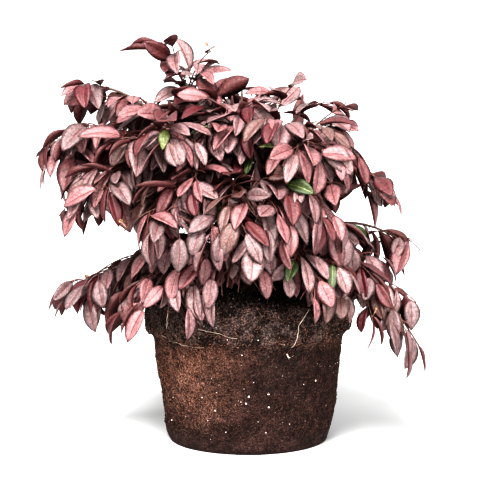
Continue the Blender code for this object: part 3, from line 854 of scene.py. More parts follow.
arcList = [shootArcs[shoot[0]] for shoot in shoots]
foliageFrom = np.array([tiers[shoot[1]]["foliageFrom"] for shoot in shoots])
sunkStarts = np.array([-bark["boughSunk"] / np.linalg.norm(arcPace(arc, 0.0)) for arc in arcList])
ones = np.ones(len(arcList))
boughs = limbShapes(arcList, sunkStarts, foliageFrom, ones * boughRadius, ones * stemRadius, 60, 14, 33)
barkPiece = makePiece("trunkAndBoughs", *joined([trunkShape(), boughs]), [barkMaterial()])
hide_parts("trunk", *boughNodes)
print("trunk and boughs ready")


# Growth of the foliage: side twigs on each shoot's stem, finer twigs on those, and leaves on all of them.
# A twig or leaf is drawn anew a few times, and skipped if it would still leave its shoot's space or touch
# a limb, the root ball or another leaf.

growth = dict(
    seed=42, sideTwigs=8, firstTwig=0.45, lastTwigAt=0.91, twigFan=(38, 70), twigRoll=(-30, 55),
    twigLengths=(0.85, 1.1), twigShrink=0.48, finerTwigs=(0.34, 0.60), finerShare=0.42,
    tries=9, clearance=0.0004, ballMargin=0.003, twigSlack=0.012, leafSlack=0.018, stemMarks=10,
    twigFootShare=0.62, twigTipRadius=0.00065, finerFootRadius=0.00075, finerTipRadius=0.0005,
    innerTwigs=(0.50, 0.64, 0.78, 0.90, 0.99), innerLength=0.054, innerSlack=0.09, pastBox=0.003,
    finerFirst=1.15, finerDrop=0.3, roomFrom=0.06, trunkRoom=(0.013, 0.009), trunkBend=0.05, sprigSeed=100,
)
leafRule = dict(
    length=0.0490, width=0.0236, sizes=(0.76, 1.22), widths=(0.86, 1.24), youngSizes=(0.74, 0.98),
    shrink=0.16, pitch=0.0101, pitchJitter=0.15, within=(0.02, 0.99), tipAt=0.985,
    stemBare=0.02, twigBare=0.16, finerBare=0.35, petiole=0.0040, petioles=(0.7, 1.2), tipPetiole=0.5,
    forward=(0.35, 0.85), aside=(0.35, 1.00), tipDown=(0.1, 0.7), jitter=0.32, hangJitter=1.5, sway=0.07,
    facingUp=(0.4, 1.0), facingOut=(0.1, 0.75), facingAside=(0.0, 0.8), facingJitter=0.30,
    folds=(8, 38), arches=(0.10, 0.90), twist=0.25, waves=(0.0, 0.022), beats=(0.8, 1.8),
    widestAt=(0.43, 0.56), sharpness=(0.86, 1.18),
)
plainBlade = dict(widestAt=0.43, lift=0.075, thickness=0.0004, nod=0.09, ridge=0.03)
crownHeart = np.array((-0.01, 0, ball["height"] + 0.05))

room = dict(trees=[], centres=[], reaches=[])


def hasRoom(corners, faces, apart=()):
    # True where a closed shape touches nothing that already stands; apart are the ones it may touch
    tree = BVHTree.FromPolygons(corners.tolist(), faces)
    middle = corners.mean(axis=0)
    reach = np.linalg.norm(corners - middle, axis=1).max()
    if room["trees"]:
        away = np.linalg.norm(np.array(room["centres"]) - middle, axis=1)
        for i in np.flatnonzero(away < np.array(room["reaches"]) + reach):
            if i not in apart and tree.overlap(room["trees"][i]):
                return False
    return True


def takeRoom(corners, faces):
    # adds a closed shape to those that stand, and returns its number
    tree = BVHTree.FromPolygons(corners.tolist(), faces)
    middle = corners.mean(axis=0)
    room["trees"].append(tree)
    room["centres"].append(middle)
    room["reaches"].append(np.linalg.norm(corners - middle, axis=1).max())
    return len(room["trees"]) - 1


def plainTube(arc, first, last, footRadius, tipRadius, rings=5):
    # a three-sided tube for these tests
    t = np.linspace(first, last, rings)
    paths = arcPoint(arc, t)[None]
    chord = unit(paths[0, -1] - paths[0, 0])
    aside = unit(np.cross(chord, up) + np.array((1e-6, 0, 0)))
    facing = np.cross(aside, chord)[None, None]
    radii = np.linspace(footRadius, tipRadius, rings)[None]
    corners, faceSets = tubes(paths, radii, 3, facing)
    return corners, [tuple(face) for faces, _ in faceSets for face in faces.tolist()]


plainLeafFaces = [(0, 3, 5), (0, 5, 4), (3, 2, 5), (5, 2, 4), (1, 2, 3), (1, 4, 2), (0, 1, 3), (0, 4, 1)]


def plainLeaf(foot, along, facing, length, width, extra):
    # the solids' own leaf of eight faces: folded up a little along the midrib, its tip nods
    side = np.cross(along, facing)
    widest = foot + along * plainBlade["widestAt"] * length
    raised = widest + facing * plainBlade["lift"] * length
    return np.stack([
        foot + facing * plainBlade["thickness"],
        foot - facing * (plainBlade["thickness"] + extra),
        foot + along * (length + extra) - facing * plainBlade["nod"] * length,
        raised + side * (width / 2 + extra),
        raised - side * (width / 2 + extra),
        widest + facing * (plainBlade["ridge"] * length + extra),
    ])


# how low leaves hang, from the crown's left side to its right: the lowest tip above the soil. The part
# before the root ball holds for the front only.
hem = dict(
    across=(-0.252, -0.238, -0.235, -0.226, -0.222, -0.212, -0.209, -0.202, -0.198, -0.170, -0.166, -0.148,
            -0.144, -0.128, -0.124, -0.106, -0.101, -0.089, -0.085, -0.071, -0.067, -0.047, -0.042, 0.060,
            0.070, 0.090, 0.116, 0.128, 0.136, 0.148, 0.152, 0.192, 0.198, 0.226, 0.230),
    heights=(-0.034, -0.034, -0.014, -0.014, -0.034, -0.034, -0.012, -0.012, -0.060, -0.060, -0.046, -0.046,
             -0.018, -0.018, 0.006, 0.006, -0.006, -0.006, -0.025, -0.025, -0.041, -0.041, 0.018, 0.018,
             -0.010, -0.020, -0.020, -0.010, -0.058, -0.058, -0.078, -0.078, -0.125, -0.125, -0.045),
)


def aboveHem(point):
    # True where a leaf's tip is behind the ball, or hangs no lower than the hem
    lowest = np.interp(point[0], hem["across"], hem["heights"])
    return (point[1] > 0 and abs(point[0]) < 0.139) or point[2] > ball["height"] + lowest


# where the sky shows between sprays, seen from the front: (left, right, lowest, highest), the height taken
# along the view, which falls a little towards the crown
skyGaps = dict(
    belowRightSprays=(0.114, 0.200, 0.279, 0.303),
    besideRightSprays=(0.128, 0.143, 0.296, 0.340),
    overRightSprays=(0.168, 0.260, 0.357, 0.395),
    overRightTips=(0.186, 0.260, 0.330, 0.360),
    belowRightTips=(0.205, 0.260, 0.285, 0.345),
    underSkirtRight=(0.214, 0.250, 0.205, 0.245),
    betweenSkirtRight=(0.211, 0.250, 0.120, 0.146),
    overSkirtLeft=(-0.200, -0.180, 0.225, 0.270),
    overSkirtLeftMiddle=(-0.180, -0.165, 0.238, 0.270),
    overSkirtLeftInner=(-0.170, -0.138, 0.246, 0.270),
    behindTopLeft=(-0.180, -0.117, 0.450, 0.500),
    belowTopRight=(0.044, 0.094, 0.409, 0.430),
    belowLeftTips=(-0.300, -0.238, 0.262, 0.322),
    overLeftTips=(-0.300, -0.243, 0.393, 0.480),
    betweenLeftTips=(-0.243, -0.224, 0.406, 0.431),
    leftOfTopRight=(0.010, 0.056, 0.463, 0.540),
    overMiddle=(-0.021, 0.010, 0.472, 0.540),
    overTopMiddle=(-0.075, 0.010, 0.512, 0.540),
    rightOfTopLeft=(-0.083, -0.058, 0.502, 0.540),
    overTopLeft=(-0.260, -0.181, 0.468, 0.540),
    belowTopLeft=(-0.260, -0.200, 0.412, 0.428),
    overTopRight=(0.050, 0.110, 0.474, 0.540),
    overUpperRight=(0.086, 0.160, 0.441, 0.480),
    rightOfUpperRight=(0.132, 0.185, 0.379, 0.403),
    overSkirtTips=(-0.300, -0.203, 0.212, 0.262),
    highOnTheRight=(0.157, 0.220, 0.395, 0.480),
)


def withinReach(points):
    # True where every point is inside the solids' box, or just past its far sides
    low, high = cadBox
    return bool(np.all(points > np.array(low)) and np.all(points < np.array(high) + growth["pastBox"]))


def againstSky(points):
    # True where any of the points stands in one of the gaps
    height = points[:, 2] + points[:, 1] * math.tan(math.radians(studio["elevation"]))
    return any(
        np.any((left < points[:, 0]) & (points[:, 0] < right) & (lowest < height) & (height < highest))
        for left, right, lowest, highest in skyGaps.values())


def clearOfBall(points):
    # True where every point is over the root ball or beside it, with the margin to spare
    bandFoot = ball["height"] - ball["bandHeight"] - ball["edge"]
    share = np.clip(points[:, 2] / bandFoot, 0, 1)
    body = ball["bodyFoot"] + share * (ball["bodyTop"] - ball["bodyFoot"])
    radius = np.where(points[:, 2] > bandFoot, ball["bandTop"], body) + ball["lumpRoom"]
    beside = np.hypot(points[:, 0], points[:, 1]) > radius + growth["ballMargin"]
    return bool(np.all(beside | (points[:, 2] > ball["height"] + growth["ballMargin"])))


shootNames = [shoot[0] for shoot in shoots]
stemMarks = np.stack([
    arcPoint(arc, np.linspace(start, 1, growth["stemMarks"])) for arc, start in zip(arcList, foliageFrom)
])


def inOwnSpace(shootNumber, point, slack):
    # True where the point is nearest to this shoot's stem, or past the middle by the slack at most
    away = np.linalg.norm(stemMarks - point, axis=-1).min(axis=1)
    return bool(np.all(away + slack >= away[shootNumber]))


def sideTwig(arc, t, hand, length, droop, draw):
    # it leaves its carrier to one hand, rises a little and droops towards its tip
    way = unit(arcPace(arc, t))
    aside = unit(np.cross(way, up)) * hand
    rise = np.cross(aside, way) * hand
    fan = math.radians(draw.uniform(*growth["twigFan"]))
    roll = math.radians(draw.uniform(*growth["twigRoll"]))
    start = (aside * math.cos(roll) + rise * math.sin(roll)) * math.sin(fan) + way * math.cos(fan)
    foot = arcPoint(arc, t)
    return np.stack([foot, foot + start * length / 2, foot + (start - up * droop) * length])


def growTwig(carrier, t, hand, length, radii, order, draw, slack=growth["twigSlack"]):
    # one side twig with room for it, or None
    for _ in range(growth["tries"]):
        arc = sideTwig(carrier["arc"], t, hand, length * draw.uniform(*growth["twigLengths"]),
                       carrier["droop"], draw)
        points = arcPoint(arc, np.linspace(0, 1, 6))
        inside = all(inOwnSpace(carrier["shoot"], point, slack) for point in points[3:])
        if not inside or not clearOfBall(points) or againstSky(points) or not aboveHem(points[-1]):
            continue
        wider = [radius + growth["clearance"] for radius in radii]
        corners, faces = plainTube(arc, growth["roomFrom"], 1, *wider)
        if hasRoom(corners, faces, carrier["numbers"]):
            number = takeRoom(corners, faces)
            return dict(arc=arc, first=0.0, last=1.0, radii=radii, order=order, shoot=carrier["shoot"],
                        droop=carrier["droop"], numbers=(number,), bare=0.0, slack=growth["leafSlack"])
    return None


def leafPlaces(carrier, draw):
    # (t, hand, size, share of the way) of each leaf: they alternate from hand to hand past the bare share,
    # and one more, whose hand is 0, goes on from the tip
    first, last = (arcPoint(carrier["arc"], carrier[end]) for end in ("first", "last"))
    run = np.linalg.norm(last - first) * (1 - carrier["bare"])
    count = max(1, round(run / leafRule["pitch"]))
    start = carrier["first"] + (carrier["last"] - carrier["first"]) * carrier["bare"]
    firstHand = 1 if draw.random() < 0.5 else -1
    stray, (low, high) = leafRule["pitchJitter"], leafRule["within"]
    places = []
    for i in range(count):
        t = start + (carrier["last"] - start) * (i + draw.uniform(-stray, stray)) / count
        size = draw.uniform(*leafRule["sizes"]) * (1 - leafRule["shrink"] * i / count)
        places.append((min(max(t, low), high), firstHand * (1 if i % 2 else -1), size, i / count))
    places.append((leafRule["tipAt"], 0, draw.uniform(*leafRule["youngSizes"]), 1.0))
    return places


def leafBearing(foot, way, hand, mean, draw):
    # (along, facing) of a leaf: it leaves its twig to one hand, or goes on from the twig's tip where the
    # hand is 0, hangs with its weight, and turns its upper face up and out of the crown. Leaves of one
    # twig share its mean bearing, and each strays a little.
    stray = leafRule["jitter"]
    outward = unit(foot - crownHeart)
    aside = unit(np.cross(way, up)) * hand
    if hand:
        along = way * (mean["forward"] + draw.uniform(-stray, stray))
        along = along + aside * (mean["aside"] + draw.uniform(-stray, stray))
        along = along - up * (mean["hang"] + draw.uniform(-stray, stray) * leafRule["hangJitter"])
    else:
        along = way - up * draw.uniform(*leafRule["tipDown"])
    along = unit(along + np.array([draw.gauss(0, leafRule["sway"]) for _ in range(3)]))
    facing = up * draw.uniform(*leafRule["facingUp"]) + outward * draw.uniform(*leafRule["facingOut"])
    facing = facing + aside * draw.uniform(*leafRule["facingAside"])
    facing = facing + np.array([draw.gauss(0, leafRule["facingJitter"]) for _ in range(3)])
    return along, unit(facing - along * facing.dot(along))


# Leaf colours: share is how many sprays take the tone; paintedShadeSprays is the same for the sprays that
# hang low at the sides, whose darker tones are painted shade, and paintedLightSprays for those in the
# middle of the front, whose brighter tones are painted light

tones = dict(
    rose=dict(colour=(0.192, 0.094, 0.095), share=22, paintedShadeSprays=3, paintedLightSprays=32, under="under"),
    dustyRose=dict(colour=(0.186, 0.122, 0.120), share=20, paintedShadeSprays=4, paintedLightSprays=30, under="under"),
    mauve=dict(colour=(0.168, 0.100, 0.101), share=22, paintedShadeSprays=16, paintedLightSprays=22, under="under"),
    dusk=dict(colour=(0.130, 0.086, 0.085), share=14, paintedShadeSprays=40, paintedLightSprays=4, under="under"),
    plum=dict(colour=(0.094, 0.030, 0.031), share=14, paintedShadeSprays=22, paintedLightSprays=8, under="under"),
    bronze=dict(colour=(0.118, 0.068, 0.061), share=7, paintedShadeSprays=15, paintedLightSprays=4, under="under"),
    crimson=dict(colour=(0.080, 0.017, 0.020), share=0, under="under"),
    green=dict(colour=(0.045, 0.060, 0.024), share=0, under="greenUnder"),
    lime=dict(colour=(0.105, 0.118, 0.046), share=0, under="greenUnder"),
)
toneRule = dict(
    own=0.70, youngFrom=0.7, youngOuter=0.14, youngInner=0.04, green=0.035, lime=0.015, oldUpTo=0.4,
    behindFrom=0.02, markReach=0.010, markSize=0.8,
)
common = [name for name in tones if tones[name]["share"]]

# the sprays whose tones are darker than the rest as painted shade, and those brighter than the rest as
# painted light
sprayLightMoods = dict.fromkeys(("skirt_left", "skirt_back_left", "skirt_right_front"), "paintedShadeSprays")
sprayLightMoods.update(dict.fromkeys(("crown", "top_front", "upper_front_left", "upper_front_right", "upper_right",
                            "mid_right", "mid_right_front", "mid_left_front", "skirt_front_left",
                            "skirt_front", "skirt_front_right"), "paintedLightSprays"))


def commonTone(mood, draw):
    # one of the common tones, drawn by their shares for the mood
    return draw.choices(common, [tones[name][mood] for name in common])[0]


def leafTone(carrierTone, mood, sharePlace, outer, behind, draw):
    # young tip leaves are crimson, a few old ones near a twig's foot are green behind the crown's middle,
    # where the front's own marks don't place them, and the rest mostly take the spray's tone
    chance = draw.random()
    young = toneRule["youngOuter"] if outer else toneRule["youngInner"]
    if sharePlace > toneRule["youngFrom"] and chance < young:
        return "crimson"
    if behind and sharePlace < toneRule["oldUpTo"]:
        if chance < toneRule["lime"]:
            return "lime"
        if chance < toneRule["lime"] + toneRule["green"]:
            return "green"
    return carrierTone if draw.random() < toneRule["own"] else commonTone(mood, draw)


leaves = []
twigs = []

# sprigs that stand out of the crown's outline, then those that fill the crown between the two lower tiers
# at the left and the back, then two that reach out at the back: shoot, t on its stem, the point that draws
# the twig, its tip, and the share of it that is bare
sprigs = [
    ("top_left", 0.66, (-0.066, 0.000, 0.494), (-0.047, -0.006, 0.504), 0.35),
    ("top_right", 0.45, (0.026, 0.000, 0.442), (0.069, -0.004, 0.468), 0.45),
    ("top_front", 0.75, (0.002, -0.098, 0.408), (0.008, -0.108, 0.372), 0.15),
    ("upper_right", 0.50, (0.095, -0.020, 0.421), (0.126, -0.024, 0.439), 0.40),
    ("skirt_left", 0.40, (-0.147, -0.035, 0.257), (-0.191, -0.042, 0.224), 0.20),
    ("mid_left", 0.65, (-0.228, -0.012, 0.415), (-0.266, -0.016, 0.378), 0.20),
    ("skirt_right_front", 0.68, (0.186, -0.056, 0.216), (0.213, -0.060, 0.187), 0.30),
    ("mid_back", 0.50, (-0.030, 0.118, 0.335), (-0.050, 0.128, 0.300), 0.15),
    ("mid_back", 0.65, (0.020, 0.150, 0.332), (0.040, 0.160, 0.298), 0.15),
    ("mid_back", 0.35, (0.015, 0.080, 0.318), (0.030, 0.085, 0.285), 0.15),
    ("mid_back", 0.75, (-0.035, 0.165, 0.330), (-0.055, 0.172, 0.295), 0.15),
    ("mid_back_right", 0.50, (0.075, 0.085, 0.335), (0.090, 0.080, 0.300), 0.15),
    ("mid_back_right", 0.70, (0.062, 0.140, 0.330), (0.058, 0.155, 0.295), 0.15),
    ("mid_back_left", 0.45, (-0.070, 0.095, 0.338), (-0.060, 0.110, 0.300), 0.15),
    ("mid_back_left", 0.65, (-0.100, 0.125, 0.340), (-0.090, 0.140, 0.300), 0.15),
    ("mid_left", 0.35, (-0.105, 0.010, 0.335), (-0.120, 0.015, 0.290), 0.15),
    ("mid_left_front", 0.40, (-0.095, -0.040, 0.325), (-0.112, -0.035, 0.285), 0.15),
    ("mid_back_left", 0.35, (-0.085, 0.050, 0.320), (-0.105, 0.050, 0.285), 0.15),
    ("mid_back", 0.80, (-0.018, 0.215, 0.335), (-0.024, 0.248, 0.300), 0.20),
    ("skirt_back", 0.70, (-0.036, 0.195, 0.238), (-0.044, 0.232, 0.205), 0.20),
]
sprigRadius = 0.0010


def growLeaves(carrier, draw):
    # the leaves of one stem or twig, each with its own shape
    mean = {key: draw.uniform(*leafRule[key]) for key in ("forward", "aside")}
    mean["hang"] = draw.uniform(*tiers[shoots[carrier["shoot"]][1]]["hang"])
    # the spray's mood, which deals darker tones as painted shade and brighter ones as painted light
    mood = sprayLightMoods.get(shoots[carrier["shoot"]][0], "share")
    carrierTone = commonTone(mood, draw)
    outer = carrier["order"] > 0
    for t, hand, size, sharePlace in leafPlaces(carrier, draw):
        axis = arcPoint(carrier["arc"], t)
        way = unit(arcPace(carrier["arc"], t))
        length = leafRule["length"] * size
        width = leafRule["width"] * size * draw.uniform(*leafRule["widths"])
        behind = axis[1] > toneRule["behindFrom"]
        for _ in range(growth["tries"]):
            along, facing = leafBearing(axis, way, hand, mean, draw)
            stalk = leafRule["petiole"] * draw.uniform(*leafRule["petioles"])
            foot = axis + along * stalk * (1 if hand else leafRule["tipPetiole"])
            corners = plainLeaf(foot, along, facing, length, width, growth["clearance"])
            if not inOwnSpace(carrier["shoot"], foot + along * length / 2, carrier["slack"]):
                continue
            if not clearOfBall(corners[2:]) or not aboveHem(corners[2]) or againstSky(corners[2:]):
                continue
            if not withinReach(corners) or not hasRoom(corners, plainLeafFaces, carrier["numbers"]):
                continue
            takeRoom(plainLeaf(foot, along, facing, length, width, 0.0), plainLeafFaces)
            leaves.append(dict(
                axis=axis, foot=foot, along=along, facing=facing, length=length, width=width,
                tone=leafTone(carrierTone, mood, sharePlace, outer, behind, draw),
                fold=math.radians(draw.uniform(*leafRule["folds"])), arch=draw.uniform(*leafRule["arches"]),
                twist=draw.gauss(0, leafRule["twist"]), wave=draw.uniform(*leafRule["waves"]),
                beat=draw.uniform(*leafRule["beats"]), phase=draw.uniform(0, 2 * math.pi),
                widestAt=draw.uniform(*leafRule["widestAt"]),
                sharpness=draw.uniform(*leafRule["sharpness"]),
            ))
            break


def growSprigs(stems):
    # the marked sprigs and their leaves, before all other twigs, so that they find room
    for i, (name, t, drawn, tip, bare) in enumerate(sprigs):
        stem = stems[shootNames.index(name)]
        arc = np.stack([arcPoint(stem["arc"], t), drawn, tip])
        radii = (sprigRadius, growth["twigTipRadius"])
        number = takeRoom(*plainTube(arc, growth["roomFrom"], 1, *radii))
        sprig = dict(arc=arc, first=0.0, last=1.0, radii=radii, order=1, shoot=stem["shoot"],
                     droop=stem["droop"], numbers=(number,), bare=bare, slack=growth["innerSlack"])
        growLeaves(sprig, random.Random(growth["seed"] + growth["sprigSeed"] + i))
        twigs.append(sprig)


def growCrown():
    # every shoot's stem first, so that twigs and leaves keep clear of all of them, then the sprigs, then
    # each shoot's inner twigs, side twigs and finer twigs, and the leaves on all of these
    stems = []
    trunkArc = np.stack([trunkPoint(height) for height in (0, growth["trunkBend"], trunk["height"])])
    takeRoom(*plainTube(trunkArc, 0, 1, *growth["trunkRoom"]))
    for number, (shoot, arc) in enumerate(zip(shoots, arcList)):
        tier = tiers[shoot[1]]
        boughNumber = takeRoom(*plainTube(arc, 0, tier["foliageFrom"], boughRadius, stemRadius))
        stemNumber = takeRoom(*plainTube(arc, tier["foliageFrom"], 1, stemRadius, stemTipRadius, 8))
        stems.append(dict(
            arc=arc, first=tier["foliageFrom"], last=1.0, radii=(stemRadius, stemTipRadius), order=0,
            shoot=number, droop=tier["droop"], numbers=(boughNumber, stemNumber), bare=leafRule["stemBare"],
            slack=growth["leafSlack"]))
    growSprigs(stems)
    for number, stem in enumerate(stems):
        draw = random.Random(growth["seed"] + number)
        tier = tiers[shoots[number][1]]
        carriers = [stem]
        for i, share in enumerate(growth["innerTwigs"]):
            radii = (growth["finerFootRadius"], growth["finerTipRadius"])
            length = growth["innerLength"]
            inner = growTwig(stem, tier["foliageFrom"] * share, 1 if i % 2 else -1, length, radii, 2, draw,
                             growth["innerSlack"])
            if inner is not None:
                inner["bare"] = leafRule["twigBare"]
                inner["slack"] = growth["innerSlack"]
                carriers.append(inner)
        for place in range(growth["sideTwigs"]):
            share = (place + growth["firstTwig"]) / growth["sideTwigs"]
            t = tier["foliageFrom"] + (growth["lastTwigAt"] - tier["foliageFrom"]) * share
            hand = 1 if place % 2 else -1
            thick = (stemRadius + (stemTipRadius - stemRadius) * share) * growth["twigFootShare"]
            length = tier["spread"] * (1 - growth["twigShrink"] * share)
            twig = growTwig(stem, t, hand, length, (thick, growth["twigTipRadius"]), 1, draw)
            if twig is None:
                continue
            twig["bare"] = leafRule["twigBare"]
            carriers.append(twig)
            for i, finerAt in enumerate(growth["finerTwigs"]):
                shorter = growth["finerFirst"] - growth["finerDrop"] * i
                finerLength = length * growth["finerShare"] * shorter
                radii = (growth["finerFootRadius"], growth["finerTipRadius"])
                finer = growTwig(twig, finerAt, hand * (1 if i % 2 else -1), finerLength, radii, 2, draw)
                if finer is not None:
                    finer["bare"] = leafRule["finerBare"]
                    carriers.append(finer)
        for carrier in carriers:
            growLeaves(carrier, draw)
        twigs.extend(carriers)


# the old green leaves that the front shows: (x, height along the view, tone)
greenMarks = [
    (0.034, 0.377, "lime"), (-0.034, 0.295, "lime"), (0.045, 0.224, "green"), (0.099, 0.218, "green"),
    (0.153, 0.273, "green"), (0.080, 0.413, "green"), (-0.056, 0.403, "lime"), (-0.104, 0.383, "lime"),
    (0.060, 0.330, "green"), (-0.008, 0.345, "green"),
]


def placeGreens():
    # each mark turns the foremost leaf that lies on it, and makes it smaller
    middle = column(leaves, "foot") + column(leaves, "along") * column(leaves, "length")[:, None] / 2
    height = middle[:, 2] + middle[:, 1] * math.tan(math.radians(studio["elevation"]))
    for x, mark, tone in greenMarks:
        near = np.flatnonzero(np.hypot(middle[:, 0] - x, height - mark) < toneRule["markReach"])
        if len(near):
            leaf = leaves[near[middle[near, 1].argmin()]]
            length, width = (leaf[key] * toneRule["markSize"] for key in ("length", "width"))
            leaf.update(tone=tone, length=length, width=width)


growCrown()
placeGreens()
print("crown grown:", len(twigs), "stems and twigs,", len(leaves), "leaves")


# Twigs: the stems, their side twigs and the finer ones, thin and wiry

twigTone = dict(stems=(0.055, 0.027, 0.020), fine=(0.075, 0.028, 0.022), stalks=(0.095, 0.028, 0.024))
# corners along and around each stem, side twig and finer twig
twigGrid = {0: (60, 10), 1: (26, 6), 2: (14, 5)}


def twigMaterial(name, colour):
    # red-brown young bark with a fine grain, a little glossy
    material, tree, shader, place = newMaterial(name, 0.6, 0.4)
    grain = noise(tree, place, 380, 4)
    stops = [(0.32, scaledTone(colour, 0.45)), (0.70, scaledTone(colour, 1.8))]
    tree.links.new(ramp(tree, grain, stops), shader.inputs["Base Color"])
    setBump(tree, shader, noise(tree, place, 1100, 3), 0.0003)
    return material


def twigPieces():
    # the stems with their side twigs, and the finer twigs; the finer a twig, the fewer its faces
    shapes = {}
    for order, (points, sides) in twigGrid.items():
        some = [twig for twig in twigs if twig["order"] == order]
        radii = column(some, "radii")
        shapes[order] = limbShapes(
            [twig["arc"] for twig in some], column(some, "first"), column(some, "last"),
            radii[:, 0], radii[:, 1], points, sides, 40 + order, 0.08)
    stemFinish = twigMaterial("stemBark", twigTone["stems"])
    stemPiece = makePiece("stems", *joined([shapes[0], shapes[1]]), [stemFinish])
    finePiece = makePiece("fineTwigs", *shapes[2], [twigMaterial("fineBark", twigTone["fine"])])
    for piece in (stemPiece, finePiece):
        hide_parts(*massNodes)


twigPieces()


# Leaves

leafShape = dict(
    rows=9, across=(-1, -0.5, -0.06, 0.06, 0.5, 1), thickness=0.00045, bulge=0.13,
    foldFade=0.4, handPhase=1.3, stalkRadius=0.00055, stalkInto=0.0012,
)


def leafBlades(leafList):
    # every blade of a list at once. Along the blade s runs from 0 to 1, across it a from -1 to 1. The
    # half width grows as s^p and closes as (1-s)^q, widest where it is asked to be. The midrib bends
    # down evenly, the halves are folded up from it and bulge, the margin waves, the whole twists.
    n = len(leafList)
    inner = leafShape["rows"] - 1
    s = np.linspace(0, 1, leafShape["rows"] + 1)[1:-1][None, :, None]
    a = np.array(leafShape["across"])[None, None, :]
    foot, along, facing = (column(leafList, key)[:, None, None] for key in ("foot", "along", "facing"))
    length, width, fold, arch, twist, wave, beat, phase, widest, q = (
        column(leafList, key)[:, None, None] for key in
        ("length", "width", "fold", "arch", "twist", "wave", "beat", "phase", "widestAt", "sharpness"))
    p = q * widest / (1 - widest)
    half = width / 2 * (s / widest) ** p * ((1 - s) / (1 - widest)) ** q
    bend = arch * s
    middle = foot + length[..., None] * (
        along * (np.sin(bend) / arch)[..., None] - facing * ((1 - np.cos(bend)) / arch)[..., None])
    normal = facing * np.cos(bend)[..., None] + along * np.sin(bend)[..., None]
    side = np.cross(along, facing) + 0 * normal
    turn = (twist * s)[..., None]
    side, normal = side * np.cos(turn) + normal * np.sin(turn), normal * np.cos(turn) - side * np.sin(turn)
    size = np.abs(a)
    folded = fold * (1 - leafShape["foldFade"] * s)
    lift = size * np.sin(folded) + leafShape["bulge"] * 4 * size * (1 - size)
    ripple = np.sin(2 * np.pi * beat * s + phase + np.sign(a) * leafShape["handPhase"])
    margin = wave * length * size * ripple * np.sin(np.pi * s)
    reach = a * np.cos(folded) * half
    top = middle + side * reach[..., None] + normal * (half * lift + margin)[..., None]
    under = (middle - normal * leafShape["thickness"])[:, :, 0]
    base = foot[:, 0]
    tipBend = arch[:, :, 0]
    tip = base + length[:, :, 0][..., None] * (
        along[:, 0] * (np.sin(tipBend) / tipBend)[..., None]
        - facing[:, 0] * ((1 - np.cos(tipBend)) / tipBend)[..., None])
    corners = np.concatenate([base, tip, top.reshape(n, -1, 3), under], axis=1)
    across = len(leafShape["across"])
    first, lastRow, rib = 2, 2 + (inner - 1) * across, 2 + inner * across
    quads = gridFaces(inner, across) + first
    c = np.arange(across - 1)
    baseFaces = np.stack([0 * c, first + c + 1, first + c], -1)
    tipFaces = np.stack([0 * c + 1, lastRow + c, lastRow + c + 1], -1)
    middleStrip = across // 2 - 1
    isRib = (np.arange(len(quads)) % (across - 1)) == middleStrip
    r = np.arange(inner - 1)
    left, right = first + r * across, first + r * across + across - 1
    lowQuads = np.concatenate([
        np.stack([left, left + across, rib + r + 1, rib + r], -1),
        np.stack([rib + r, rib + r + 1, right + across, right], -1),
    ])
    end = inner - 1
    lowEnds = np.array([
        (0, first, rib), (0, rib, first + across - 1),
        (1, rib + end, lastRow), (1, lastRow + across - 1, rib + end),
    ])
    each = corners.shape[1]
    triangles = np.concatenate([np.delete(baseFaces, middleStrip, 0), np.delete(tipFaces, middleStrip, 0)])
    ribEnds = np.stack([baseFaces[middleStrip], tipFaces[middleStrip]])
    faceSets = [
        (stamped(quads[~isRib], each, n), 0), (stamped(triangles, each, n), 0),
        (stamped(quads[isRib], each, n), 1), (stamped(ribEnds, each, n), 1),
        (stamped(lowQuads, each, n), 2), (stamped(lowEnds, each, n), 2),
    ]
    u = np.broadcast_to(a / 2 + 0.5, (1, inner, across)).reshape(-1)
    v = np.broadcast_to(s, (1, inner, across)).reshape(-1)
    ribV = s[0, :, 0]
    uv = np.concatenate([[(0.5, 0), (0.5, 1)], np.stack([u, v], -1), np.stack([0.5 + 0 * ribV, ribV], -1)])
    return corners.reshape(-1, 3), faceSets, np.tile(uv, (n, 1))


leafSkin = dict(
    specular=0.42, blotches=260, grain=900, shades=(0.66, 1.34), speck=(0.50, 0.47, 0.47),
    ribs=9, ribSlant=0.55, ribHeight=0.11, bump=0.0010, bumpStrength=0.55,
)


def leafMaterial(name, colour, roughness=0.46, veins=1.0):
    # satin: one tone, a shade lighter and darker in soft blotches, under a fine dark speckle; raised side
    # veins run forward from the midrib, and the blade is finely quilted between them
    material, tree, shader, place = newMaterial(name, roughness, leafSkin["specular"])
    blotch = noise(tree, place, leafSkin["blotches"], 6, 0.5)
    grain = noise(tree, place, leafSkin["grain"], 3)
    dark, pale = (scaledTone(colour, shade) for shade in leafSkin["shades"])
    stops = [(0.32, dark), (0.68, pale)]
    speckle = ramp(tree, grain, [(0.40, leafSkin["speck"]), (0.56, (1.0, 1.0, 1.0))])
    tree.links.new(shaded(tree, ramp(tree, blotch, stops), speckle), shader.inputs["Base Color"])
    uv = tree.nodes.new("ShaderNodeUVMap")
    uv.uv_map = "place"
    split = addNode(tree, "ShaderNodeSeparateXYZ", {"Vector": uv.outputs["UV"]})
    aside = combine(tree, "ABSOLUTE", combine(tree, "SUBTRACT", split.outputs["X"], 0.5))
    slant = combine(tree, "MULTIPLY", aside, leafSkin["ribSlant"])
    forward = combine(tree, "SUBTRACT", split.outputs["Y"], slant)
    ribs = combine(tree, "SINE", combine(tree, "MULTIPLY", forward, 2 * math.pi * leafSkin["ribs"]))
    ribs = combine(tree, "MULTIPLY", ribs, leafSkin["ribHeight"] * veins)
    relief = combine(tree, "ADD", ribs, grain)
    setBump(tree, shader, relief, leafSkin["bump"], leafSkin["bumpStrength"])
    return material


